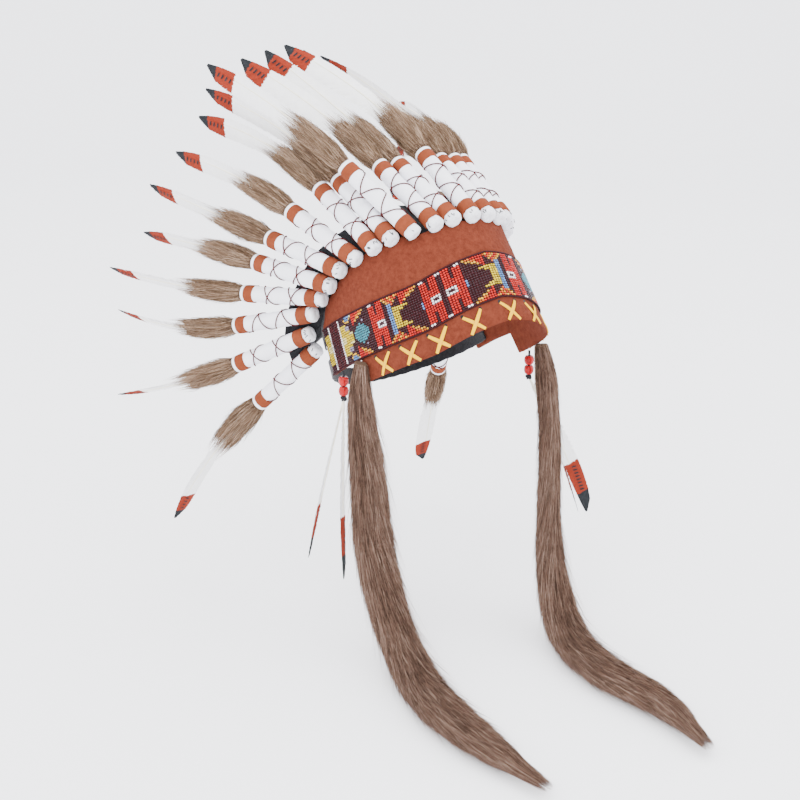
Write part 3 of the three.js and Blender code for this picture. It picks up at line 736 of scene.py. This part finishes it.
def sleeve(label, order):
    """Sleeve, and the middle, way up and inward side of its top, where the plume stands."""
    name = f"quill_sleeve_{label}"
    base, way, inward = sleeve_axis(name, f"plume_{label}")
    across = np.cross(inward, way)
    random = np.random.default_rng(100 + order)
    build = Build("pad_cloth", "white_satin", "cuff_suede", "thread_red", "speck_thread")

    def around(angle):
        return np.cos(angle)[:, None] * across + np.sin(angle)[:, None] * inward

    angle = angles(SLEEVE_SIDES)
    seam = random.uniform(0, 2 * np.pi)
    phases = random.uniform(0, 2 * np.pi, 6)
    rings = []
    kinds = []
    for kind, run in SLEEVE_PROFILE:
        for radius, height in run:
            r = np.full(SLEEVE_SIDES, radius)
            if kind == PAD:
                pleat = np.sin(angle * 7 + phases[0]) + 0.6 * np.sin(angle * 11 + phases[1] + height)
                r = r - PLEAT_DEPTH * (1.4 + pleat) * min(1.0, radius / 6)
            if kind == SATIN and SATIN_FROM <= height <= SATIN_TO:
                gap = wrapped(angle - seam)
                r = r - SEAM_DEPTH * np.exp(-((gap / 0.16) ** 2))
                r = r - 0.14 * (1 + np.sin(angle * 3 + height * 0.12 + phases[2]))
                r = r - 0.1 * (1 + np.sin(angle * 5 - height * 0.25 + phases[3]))
            if kind == CUFF:
                r = r - 0.06 * (1 + np.sin(angle * 9 + phases[4]))
            rings.append(base + around(angle) * (r[:, None] * MM) + way * height * MM)
            kinds.append(kind)
    rings = np.stack(rings)
    build.add(rings, grid_faces(len(rings), SLEEVE_SIDES), np.repeat(kinds[1:], SLEEVE_SIDES))
    add_cap(build, rings[0], base + way * 0.7 * MM, -1, PAD)
    add_cap(build, rings[-1], base + way * 79 * MM, 1, SATIN)
    # Two threads wound opposite ways
    crossing = random.uniform(0.3, 0.7) * THREAD_PITCH
    height = np.linspace(SATIN_FROM + 0.1, SATIN_TO - 0.2, 40)
    front = -0.5 * np.pi + random.normal(0, 0.5)
    for hand in (1, -1):
        turn = front + hand * 2 * np.pi * (height - height[0] - crossing) / THREAD_PITCH
        path = base + around(turn) * (SLEEVE_RADIUS + 0.15) * MM + way * height[:, None] * MM
        add_tube(build, path, THREAD_RADIUS * MM, 5, THREAD, hint=way)
    # Stitches that gather the padded end
    for _ in range(STITCHES):
        turn = front + random.uniform(-1.5, 1.5)
        low = random.uniform(0.8, 3.0)
        t = np.linspace(0, 1, 4)
        h = low + t * random.uniform(1.5, 3.0)
        a = turn + t * random.uniform(-0.3, 0.3)
        path = base + around(a) * 6.95 * MM + way * h[:, None] * MM
        add_tube(build, path, STITCH_RADIUS * MM, 4, SPECK, hint=way)
    wound = build.piece(f"sleeve_{label}", [name])
    return base + way * SLEEVE_LENGTH * MM, way, inward


# Feathers

# Outline by the ends of the barbs: share of the length, then share of the vane's width on each side
OUTLINE = np.array([
    (0.0, 0.06, 0.08), (0.12, 0.12, 0.16), (0.3, 0.21, 0.3), (0.45, 0.26, 0.42), (0.62, 0.28, 0.52),
    (0.75, 0.26, 0.54), (0.85, 0.2, 0.51), (0.93, 0.13, 0.42), (1.0, 0.03, 0.05),
])
BARBS = 170
FEATHER_CAMBER = 2.2
# Angle of the barbs to the quill at its foot in degrees, and how much it closes to the tip
SWEEP = 54
SWEEP_CLOSING = 16
QUILL_RADIUS = 1.05
QUILL_TAPER = 0.83
# Pitch of the marks across the red, and the corners of a mark along and across the vane
MARK_PITCH = 4.4
MARK_ALONG = np.array([0.0, 1.5, 2.6, 1.1])
MARK_ACROSS = np.array([0.9, 0.9, 4.9, 4.9])
# Bare share of the quill, then the lengths of the red and the black
PLUME_PAINT = (0.02, 19, 9.5)
DROP_PAINT = (0.06, 34, 21)
FEATHER_MATERIALS = ("vane_white", "vane_red", "vane_black", "quill")
WHITE, RED, BLACK, QUILL = range(4)


def add_feather(build, curve, side_hint, width, seed, bare, red, black):
    """Feather on a curve: a quill, barbs trimmed to the outline, a red band and a black end."""
    random = np.random.default_rng(seed)
    path = curve(np.linspace(0, 1, 201))
    length = run_along(path)
    total = length[-1]
    _, side, up = frames_along(path, side_hint)
    black_from = total - black * MM
    red_from = black_from - red * MM

    def on_blade(along, across):
        """Point of the blade at a distance along and across the quill, and the way up there."""
        at = np.clip(along, 0, total)
        place, s, u = [points_at(at, length, v) for v in (path, side, up)]
        droop = FEATHER_CAMBER * MM * (across / (0.6 * width * MM)) ** 2
        return place + s * across[..., None] - u * droop[..., None], u

    for hand, column in ((1, 2), (-1, 1)):
        root = np.linspace(bare * total, total * 0.992, BARBS)
        share = root / total
        fluff = 1 - smooth_step(0.3, 0.62, share)
        sweep = np.radians(SWEEP - SWEEP_CLOSING * share) + random.normal(0, 0.012 + 0.05 * fluff, BARBS)
        clump = np.repeat(random.normal(0, 0.04, BARBS // 6 + 1), 6)[:BARBS]
        sweep = sweep + clump * (0.2 + fluff)
        half = np.zeros(BARBS)
        for _ in range(6):
            reach = np.minimum((root + half / np.tan(sweep)) / total, 1.0)
            half = 0.5 * half + 0.5 * np.interp(reach, OUTLINE[:, 0], OUTLINE[:, column]) * width * MM
        half = half * (1 + random.normal(0, 0.012, BARBS))
        half = half * (1 + 0.3 * fluff * random.uniform(-0.6, 1, BARBS))
        run = np.minimum(half / np.tan(sweep), np.maximum(total - root, 0.0012))
        # Barbs are cut where the paint changes, or else at a fixed share
        cuts = []
        for border, otherwise in ((red_from, 0.36), (black_from, 0.7)):
            cut = (border - root) / run
            cuts.append(np.where((cut > 0.04) & (cut < 0.96), cut, otherwise))
        first, second = np.sort(cuts, axis=0)
        second = np.maximum(second, first + 0.02)
        stops = np.stack([np.zeros(BARBS), first, second, np.ones(BARBS)], 1)
        along = root[:, None] + run[:, None] * stops
        across = hand * half[:, None] * (stops + 0.16 * stops * (1 - stops))
        lift = random.normal(0, 0.16, BARBS) * MM
        middle, normal = on_blade(along, across)
        middle = middle + normal * (lift[:, None] * stops)[..., None]
        spacing = total * (1 - bare) / BARBS
        breadth = spacing * np.array([0.85, 1.05, 1.0, 0.55])
        direction = unit(np.gradient(middle, axis=1))
        edge = unit(np.cross(normal, direction))
        edge = edge * breadth[None, :, None]
        points = np.stack([middle - edge, middle + edge], 2)
        faces = np.array([[2 * k, 2 * k + 1, 2 * k + 3, 2 * k + 2] for k in range(3)])
        faces = faces[None] + (np.arange(BARBS) * 8)[:, None, None]
        centre = (along[:, 1:] + along[:, :-1]) / 2
        slots = np.where(centre > black_from, BLACK, np.where(centre > red_from, RED, WHITE))
        build.add(points, faces.reshape(-1, 4), slots.ravel())
    # Quill, painted like the vane
    borders = (0, red_from, black_from, total)
    for slot, low, high, count in zip((QUILL, RED, BLACK), borders, borders[1:], (18, 5, 5)):
        at = np.linspace(low, high, count)
        radius = (QUILL_RADIUS - QUILL_TAPER * at / total) * MM
        add_tube(build, points_at(at, length, path), radius, 6, slot, hint=side_hint)
    # Row of marks across the red, on both faces of the broad vane
    marks = max(3, round(red / MARK_PITCH))
    for face in (1, -1):
        for k in range(marks):
            start = red_from + (0.1 + 0.86 * k / marks) * red * MM
            middle, normal = on_blade(start + MARK_ALONG * MM, MARK_ACROSS * MM)
            build.add(middle + normal * face * 0.6 * MM, [[0, 1, 2, 3]], BLACK)


def bezier(start, control, end):
    def curve(t):
        t = np.asarray(t, float)[:, None]
        return (1 - t) ** 2 * start + 2 * t * (1 - t) * control + t ** 2 * end
    return curve


# Fur

def add_strands(build, roots, tips, bow, width, slots):
    """Fine flat hairs from roots to tips, bowed in their middle, each with its slot."""
    count = len(roots)
    middle = (roots + tips) / 2 + bow
    loose = np.random.default_rng(count).normal(0, 1, (count, 3))
    edge = unit(np.cross(tips - roots, loose)) * width[:, None]
    points = np.stack([roots - 0.8 * edge, roots + 0.8 * edge, middle - edge, middle + edge, tips], 1)
    first = (np.arange(count) * 5)[:, None]
    build.add(points, np.array([[0, 1, 3, 2]]) + first, slots)
    build.faces.append(np.array([[2, 3, 4]]) + first + build.count - count * 5)
    build.slots.append(np.asarray(slots))


# Slot of the core under the hairs, after the three tones
CORE = 3
TUFT_HAIRS = 3500
TUFT_LOCKS = 13
# Share of the tuft's length, and how far out the hairs stand there
TUFT_ENVELOPE = np.array([
    (0, 0.94), (0.1, 1.05), (0.3, 1.2), (0.6, 1.22), (0.85, 1.08), (1.0, 0.9), (1.3, 0.7),
])


def add_tuft(build, curve, reach, across, inward, seed):
    """Fur standing on the sleeve's rim, combed along the plume and ending in wisps."""
    random = np.random.default_rng(seed)
    share = TUFT_LENGTH / reach
    count = TUFT_HAIRS
    broad = across * TUFT_HALF_WIDTH
    deep = inward * TUFT_HALF_DEPTH

    def at(s, a, r):
        ring = np.cos(a)[..., None] * broad + np.sin(a)[..., None] * deep
        return curve(np.ravel(s) * share).reshape(*np.shape(s), 3) + ring * (r * MM)[..., None]

    def envelope(s):
        return np.interp(s, TUFT_ENVELOPE[:, 0], TUFT_ENVELOPE[:, 1])

    s, a = np.meshgrid(np.linspace(0, 0.75, 9), angles(12), indexing="ij")
    close = np.interp(s, [0, 0.06, 0.45, 0.75], [0.72, 0.9, 0.86, 0.1])
    build.add(at(s, a, close), grid_faces(*s.shape), CORE)
    lock_angle = angles(TUFT_LOCKS) + random.normal(0, 0.15, TUFT_LOCKS)
    lock_reach = random.uniform(0.86, 1.2, TUFT_LOCKS)
    lock_tone = random.normal(0, 0.09, TUFT_LOCKS)
    angle = random.uniform(0, 2 * np.pi, count)
    mine = np.argmin(np.abs(wrapped(angle[:, None] - lock_angle[None])), 1)
    root_s = random.uniform(0, 1, count) ** 1.25 * 0.8
    tip_s = root_s + random.uniform(0.22, 0.5, count)
    tip_s = np.minimum(tip_s, lock_reach[mine] * random.uniform(0.68, 1.06, count))
    tip_s = np.maximum(tip_s, root_s + 0.1)
    stray = random.uniform(0, 1, count) < 0.16
    tip_s = np.where(stray, tip_s + random.uniform(0.05, 0.32, count), tip_s)
    pull = 0.45 * smooth_step(0.4, 1.0, tip_s)
    tip_angle = angle + pull * wrapped(lock_angle[mine] - angle) + random.normal(0, 0.2, count)
    root_r = np.minimum(envelope(root_s), 1.04) * random.uniform(0.72, 0.92, count)
    tip_r = envelope(tip_s) * random.uniform(0.7, 1.05, count)
    tip_r = tip_r * np.where(stray, random.uniform(0.9, 1.42, count), 1.0)
    roots = at(root_s, angle, root_r)
    tips = at(tip_s, tip_angle, tip_r)
    radial = unit(at(root_s, angle, root_r + 1) - roots)
    bow = radial * (random.normal(0.6, 0.6, count) * MM)[:, None]
    bow = bow + random.normal(0, 0.5, (count, 3)) * MM
    width = random.uniform(0.12, 0.2, count) * MM
    tone = random.uniform(0, 1, count) + lock_tone[mine] + 0.12 * (root_s - 0.3) - 0.15 * stray
    add_strands(build, roots, tips, bow, width, np.digitize(tone, [0.24, 0.7]))


def plume(label, order, top, way, inward):
    """Feather and tuft on a sleeve's top, as long and as turned as the node."""
    name = f"plume_{label}"
    points = node_points(name)
    start = top + way * SEWN_GAP * MM
    away = np.linalg.norm(points - start, axis=1)
    tip = points[away.argmax()]
    reach = np.linalg.norm(tip - start)
    curve = bezier(start, start + way * 0.5 * reach, tip)
    # The broad vane is on the side where the node's far points lie
    far = points[(away > 0.72 * reach) & (away < 0.99 * reach)]
    line = curve(np.linspace(0.5, 1, 200))
    near = line[np.linalg.norm(far[:, None] - line[None], axis=2).argmin(1)]
    broad = unit((far - near).sum(0))
    across = np.cross(inward, way)
    build = Build(*FEATHER_MATERIALS)
    add_feather(build, curve, broad, VANE_WIDTH, 300 + order, *PLUME_PAINT)
    build.piece(f"feather_{label}", [name])
    fur = Build(*TUFT_TONES)
    add_tuft(fur, curve, reach / MM, across, inward, 500 + order)
    fur.piece(f"tuft_{label}", [name])


labels = ["centre"] + [f"{hand}_{number:02d}" for hand in ("right", "left") for number in range(1, 13)]
for order, label in enumerate(labels):
    top, way, inward = sleeve(label, order)
    plume(label, order, top, way, inward)


# Fur tails

# Seats: turn, depth under the band's lower edge, offset from the head opening, turn of the broad side
TAIL_SEATS = {"right": (86, 3, 6.5, -58), "left": (66, 20.8, 1, 54)}

# Middle lines from the crown to the tips: out as a share of the spread, ahead of the forward reach
# and drop of the height above the surface that they lie on
RIGHT_TAIL = [
    (0, 0, 0), (0.002, -0.004, 0.07), (0.008, 0.001, 0.156), (0.02, 0.019, 0.274), (0.02, 0.043, 0.389),
    (0.02, 0.052, 0.509), (0.02, 0.08, 0.689), (0.025, 0.122, 0.8), (0.045, 0.18, 0.9), (0.095, 0.255, 0.965),
    (0.18, 0.345, 0.995), (0.328, 0.473, 1), (0.431, 0.636, 1), (0.468, 0.775, 1), (0.483, 0.911, 1),
    (0.48, 0.99, 1),
]
LEFT_TAIL = [
    (0, 0, 0), (0.021, 0.018, 0.103), (0.046, 0.027, 0.22), (0.034, 0.045, 0.341), (-0.004, 0.061, 0.481),
    (-0.054, 0.079, 0.613), (-0.113, 0.109, 0.765), (-0.175, 0.155, 0.87), (-0.27, 0.22, 0.95),
    (-0.39, 0.305, 0.992), (-0.5, 0.4, 1), (-0.601, 0.557, 1), (-0.59, 0.7, 1), (-0.62, 0.807, 1),
    (-0.77, 0.951, 1),
]
GIRTH_ALONG = [0, 0.05, 0.1, 0.16, 0.24, 0.4, 0.51, 0.61, 0.67, 0.77, 0.86, 0.93, 1.0]
GIRTH_WIDTH = [0.36, 0.56, 0.78, 0.9, 0.94, 1, 1.02, 1.07, 1.1, 1.12, 0.98, 0.72, 0.3]
GIRTH_THICK = [0.36, 0.46, 0.64, 0.8, 0.92, 1, 1, 1, 1, 0.95, 0.85, 0.7, 0.3]


def between(t, t0, t1, p0, p1):
    """Point at t of the straight line with p0 at t0 and p1 at t1."""
    return (t1 - t) / (t1 - t0) * p0 + (t - t0) / (t1 - t0) * p1


def smooth_line(points, count):
    """Centripetal curve through points, resampled by its length."""
    points = np.asarray(points, float)
    points = np.concatenate([2 * points[:1] - points[1:2], points, 2 * points[-1:] - points[-2:-1]])
    made = []
    for i in range(1, len(points) - 2):
        p = points[i - 1:i + 3]
        gaps = np.maximum(np.linalg.norm(np.diff(p, axis=0), axis=1), 1e-9) ** 0.5
        knots = np.concatenate([[0], np.cumsum(gaps)])
        t = np.linspace(knots[1], knots[2], 40, endpoint=False)[:, None]
        a = [between(t, knots[k], knots[k + 1], p[k], p[k + 1]) for k in range(3)]
        b = [between(t, knots[k], knots[k + 2], a[k], a[k + 1]) for k in range(2)]
        made.append(between(t, knots[1], knots[2], b[0], b[1]))
    line = np.concatenate(made + [points[-2:-1]])
    length = run_along(line)
    return points_at(np.linspace(0, length[-1], count), length, line)


TAIL_HAIRS = 42000
TAIL_STEPS = 400
# Rings and sides of the core, and the share of the tail it reaches
CORE_RINGS = 90
CORE_SIDES = 16
CORE_REACH = 0.93


def fur_tail(hand, side, rows, seed):
    """Tail on its middle line. side is 1 on the wearer's right, -1 on the left."""
    random = np.random.default_rng(seed)
    turn, under, offset, facing = TAIL_SEATS[hand]
    top = crown_point(side * turn, band_bottom(turn) - under, offset) / MM
    lying = -FLOOR / MM - TAIL_THICKNESS / 2
    out, ahead, drop = np.array(rows).T
    line = smooth_line(np.stack([
        top[0] - side * out * TAIL_SPREAD,
        top[1] - ahead * TAIL_FORWARD,
        top[2] - drop * (top[2] + lying),
    ], 1) * MM, TAIL_STEPS)
    steps = np.linspace(0, 1, TAIL_STEPS)
    forward = unit(np.gradient(line, axis=0))
    # The broad side turns as the tail leaves the crown, and again where it lies down
    free = smooth_step(0, 0.26, steps)[:, None]
    flat = smooth_step(0.2, 0.6, steps)[:, None]
    hanging = side * np.array([math.cos(math.radians(facing)), math.sin(math.radians(facing)), 0])
    wide = (1 - free) * np.array([0.0, -1.0, 0.0]) + free * hanging
    wide = (1 - flat) * wide + flat * np.array([side, 0, 0])
    wide = unit(wide - (wide * forward).sum(1, keepdims=True) * forward)
    up = np.cross(forward, wide)

    def at(s, a, size):
        s = np.clip(s, 0, 1)
        place, broad, deep = [points_at(s, steps, v) for v in (line, wide, up)]
        size = size * (1 + 0.35 * smooth_step(0.14, 0.02, s))
        w = 0.5 * TAIL_WIDTH * MM * np.interp(s, GIRTH_ALONG, GIRTH_WIDTH) * size
        h = 0.5 * TAIL_THICKNESS * MM * np.interp(s, GIRTH_ALONG, GIRTH_THICK) * size
        return place + broad * (w * np.cos(a))[..., None] + deep * (h * np.sin(a))[..., None]

    build = Build(*TAIL_TONES)
    s, a = np.meshgrid(np.linspace(0, CORE_REACH, CORE_RINGS), angles(CORE_SIDES), indexing="ij")
    size = 0.74 + 0.05 * random.normal(0, 1, s.shape)
    rings = at(s, a, size * np.interp(s, [0, 0.82, CORE_REACH], [1, 1, 0.15]))
    build.add(rings, grid_faces(*s.shape), CORE)
    add_cap(build, rings[0], rings[0].mean(0), -1, CORE)
    add_cap(build, rings[-1], rings[-1].mean(0), 1, CORE)
    # Hairs in overlapping locks, combed to the tip, with a few that stray
    count = TAIL_HAIRS
    root_s = random.uniform(0, 0.97, count)
    angle = random.uniform(0, 2 * np.pi, count)
    wave = 0.5 * np.sin(root_s * 130 + 3 * np.cos(angle)) + 0.5 * np.sin(root_s * 71 + angle * 2)
    stray = random.uniform(0, 1, count) < 0.035
    length = np.where(stray, random.uniform(0.08, 0.16, count), random.uniform(0.035, 0.09, count))
    over = np.minimum(np.maximum(root_s + length - 1, 0), 0.045)
    tip_s = np.minimum(root_s + length, 1.0)
    root_size = random.uniform(0.68, 0.88, count)
    tip_size = 0.97 + 0.08 * wave + random.normal(0, 0.07, count)
    tip_size = np.where(stray, random.uniform(1.1, 1.55, count), np.minimum(tip_size, 1.18)) * (1 - 6 * over)
    roots = at(root_s, angle, root_size)
    tips = at(tip_s, angle + random.normal(0, 0.16, count), tip_size)
    tips = tips + forward[-1] * (over * run_along(line)[-1])[:, None]
    # No hair goes through the surface that the tail lies on
    for ends in (roots, tips):
        ends[:, 2] = np.maximum(ends[:, 2], FLOOR + 0.6 * MM)
    bow = unit(random.normal(0, 1, (count, 3))) * (random.uniform(0, 1.3, count) * MM)[:, None]
    bow[:, 2] = np.maximum(bow[:, 2], -0.1 * MM)
    width = np.where(stray, 0.1, random.uniform(0.11, 0.2, count)) * MM
    tone = random.uniform(0, 1, count) + 0.25 * (np.abs(np.cos(angle)) - 0.55) + 0.1 * wave
    add_strands(build, roots, tips, bow, width, np.digitize(tone, [0.34, 0.82]))
    build.piece(f"tail_{hand}", [f"fur_tail_{hand}"])


fur_tail("right", 1, RIGHT_TAIL, 11)
fur_tail("left", -1, LEFT_TAIL, 12)


# Feather drops

# Feathers of the drops: hand, out from the head and back as shares of the length, roll and bow
DROP_FEATHERS = [
    ("right", 0.09, 0.24, 52, 1), ("right", 0.06, -0.07, 55, 2),
    ("left", 0.46, -0.02, 110, 8), ("left", 0.44, 0.03, 40, 7),
]
# Slots, and sizes in millimetres
PONY, CORD = 4, 5
PONY_SIDES = 24
PONY_HOLE = 1.5
CORD_RADIUS = 1.0
KNOT_RADIUS = 1.5
KNOT_SWING = 0.7
KNOT_CORD = 0.85


def feather_drop(hand, side, seed):
    """Drop under its node's top. side is 1 on the wearer's right, -1 on the left."""
    points = node_points(f"feather_drop_{hand}")
    top = points[points[:, 2] > points[:, 2].max() - ONE_LEVEL].mean(0)
    build = Build(*FEATHER_MATERIALS, "pony_red", "speck_thread")
    bead = DROP_BEAD / 2
    start = -DROP_CORD_LENGTH
    arc = np.linspace(-0.42 * np.pi, 0.42 * np.pi, 10)
    radii = bead * (0.55 + 0.45 * np.cos(arc)) - 0.05
    radii = np.concatenate([[PONY_HOLE], radii, [PONY_HOLE]])[:, None]
    heights = np.concatenate([[-0.86], 0.92 * np.sin(arc), [0.86]])[:, None] * bead
    angle = angles(PONY_SIDES)[None]
    for centre in (start - bead, start - 3 * bead):
        rings = np.stack([radii * np.cos(angle), radii * np.sin(angle), centre + heights + 0 * angle], -1)
        build.add(top + rings * MM, grid_faces(len(radii), PONY_SIDES), PONY)
    t = np.linspace(0, 1, 16)
    cord = top + np.stack([0.1 * np.sin(9 * t), 0 * t, -(DROP_CORD_LENGTH + 4.6 * bead) * t], 1) * MM
    add_tube(build, cord, CORD_RADIUS * MM, 8, CORD, hint=(1, 0, 0))
    # Overhand knot under the beads
    origin = top + np.array([0, 0, start - bead * 4.5]) * MM
    turn = np.linspace(0, 2 * np.pi, 40)
    out = KNOT_RADIUS + KNOT_SWING * np.cos(3 * turn)
    loop = np.stack([out * np.cos(2 * turn), out * np.sin(2 * turn), KNOT_RADIUS * np.sin(3 * turn)], 1)
    add_tube(build, origin + loop * MM, KNOT_CORD * MM, 7, CORD, hint=(0.2, 0.9, 0.1))
    for k, (mine, out, back, roll, bow) in enumerate(DROP_FEATHERS):
        if mine != hand:
            continue
        down = math.sqrt(1 - out ** 2 - back ** 2)
        tip = origin + np.array([-side * out, back, -down]) * DROP_FEATHER * MM
        middle = (origin + tip) / 2 + np.array([-side * bow, 0, 0]) * MM
        roll = math.radians(roll)
        hint = np.array([math.sin(roll), math.cos(roll), 0])
        add_feather(build, bezier(origin, middle, tip), hint, DROP_VANE, seed + k, *DROP_PAINT)
    build.piece(f"drop_{hand}", [f"feather_drop_{hand}"])


feather_drop("right", 1, 21)
feather_drop("left", -1, 31)


# Floor, backdrop, light and camera

# Lens in millimetres, and the view's azimuth and downward slope in degrees
CAMERA_LENS = 62.37
CAMERA_PLACE = (-0.68197, -0.88493, 0.28487)
CAMERA_AZIMUTH = 36
CAMERA_DOWN = 16.5
# Square lights that face the frame's origin: place, side and power
LIGHTS = {
    "key": ((-1.5, -1.1, 1.7), 1.6, 43),
    "fill": ((1.3, -1.6, 1.0), 1.8, 13.5),
    "top": ((0.2, 0.3, 2.2), 2.0, 30),
}
WORLD_COLOUR = (0.93, 0.94, 0.97, 1)
WORLD_STRENGTH = 3.4


def backdrop():
    """Paper under the headdress that curves up behind it."""
    made, nodes, links, shader = new_material("studio_paper")
    tone = noise(nodes, links, 1.2, detail=2.0)
    colour = ramp(nodes, links, tone, [(0.2, (0.9, 0.9, 0.92)), (0.8, (0.93, 0.93, 0.95))])
    links.new(colour, shader.inputs["Base Color"])
    bump(nodes, links, shader, noise(nodes, links, 400), 0.00005)
    set_inputs(shader, {"Roughness": 0.85, "Emission Color": (1, 0.99, 1, 1), "Emission Strength": 0.25})
    turn = np.linspace(0, np.pi / 2, 16)
    bend = [(3.0 + 1.5 * math.sin(a), 1.5 - 1.5 * math.cos(a)) for a in turn]
    profile = [(-4.0, 0.0)] + bend + [(4.5, 6.0)]
    azimuth = math.radians(CAMERA_AZIMUTH)
    view = np.array([math.sin(azimuth), math.cos(azimuth), 0])
    cross = np.array([view[1], -view[0], 0])
    points = [view * y + cross * x + np.array([0, 0, FLOOR + z]) for y, z in profile for x in (-7, 7)]
    faces = grid_faces(len(profile), 2, closed=False)[:, ::-1]
    mesh = bpy.data.meshes.new("studio_floor")
    mesh.from_pydata(np.array(points).tolist(), [], faces.tolist())
    mesh.materials.append(made)
    for polygon in mesh.polygons:
        polygon.use_smooth = True
    new_object("studio_floor", mesh)


def area_light(name, place, side, power):
    data = bpy.data.lights.new(name, "AREA")
    data.shape = "RECTANGLE"
    data.size, data.size_y = side, side
    data.energy = power
    lamp = new_object(name, data)
    lamp.location = place
    lamp.rotation_euler = (-Vector(place)).to_track_quat("-Z", "Y").to_euler()


def studio():
    backdrop()
    world = bpy.data.worlds.new("studio")
    scene.world = world
    world.use_nodes = True
    set_inputs(world.node_tree.nodes["Background"], {"Color": WORLD_COLOUR, "Strength": WORLD_STRENGTH})
    for name, row in LIGHTS.items():
        area_light(name, *row)


def camera():
    data = bpy.data.cameras.new("camera")
    data.lens = CAMERA_LENS
    data.sensor_width = 36
    made = new_object("camera", data)
    made.location = CAMERA_PLACE
    made.rotation_euler = (math.radians(90 - CAMERA_DOWN), 0, math.radians(-CAMERA_AZIMUTH))
    scene.camera = made


studio()
camera()
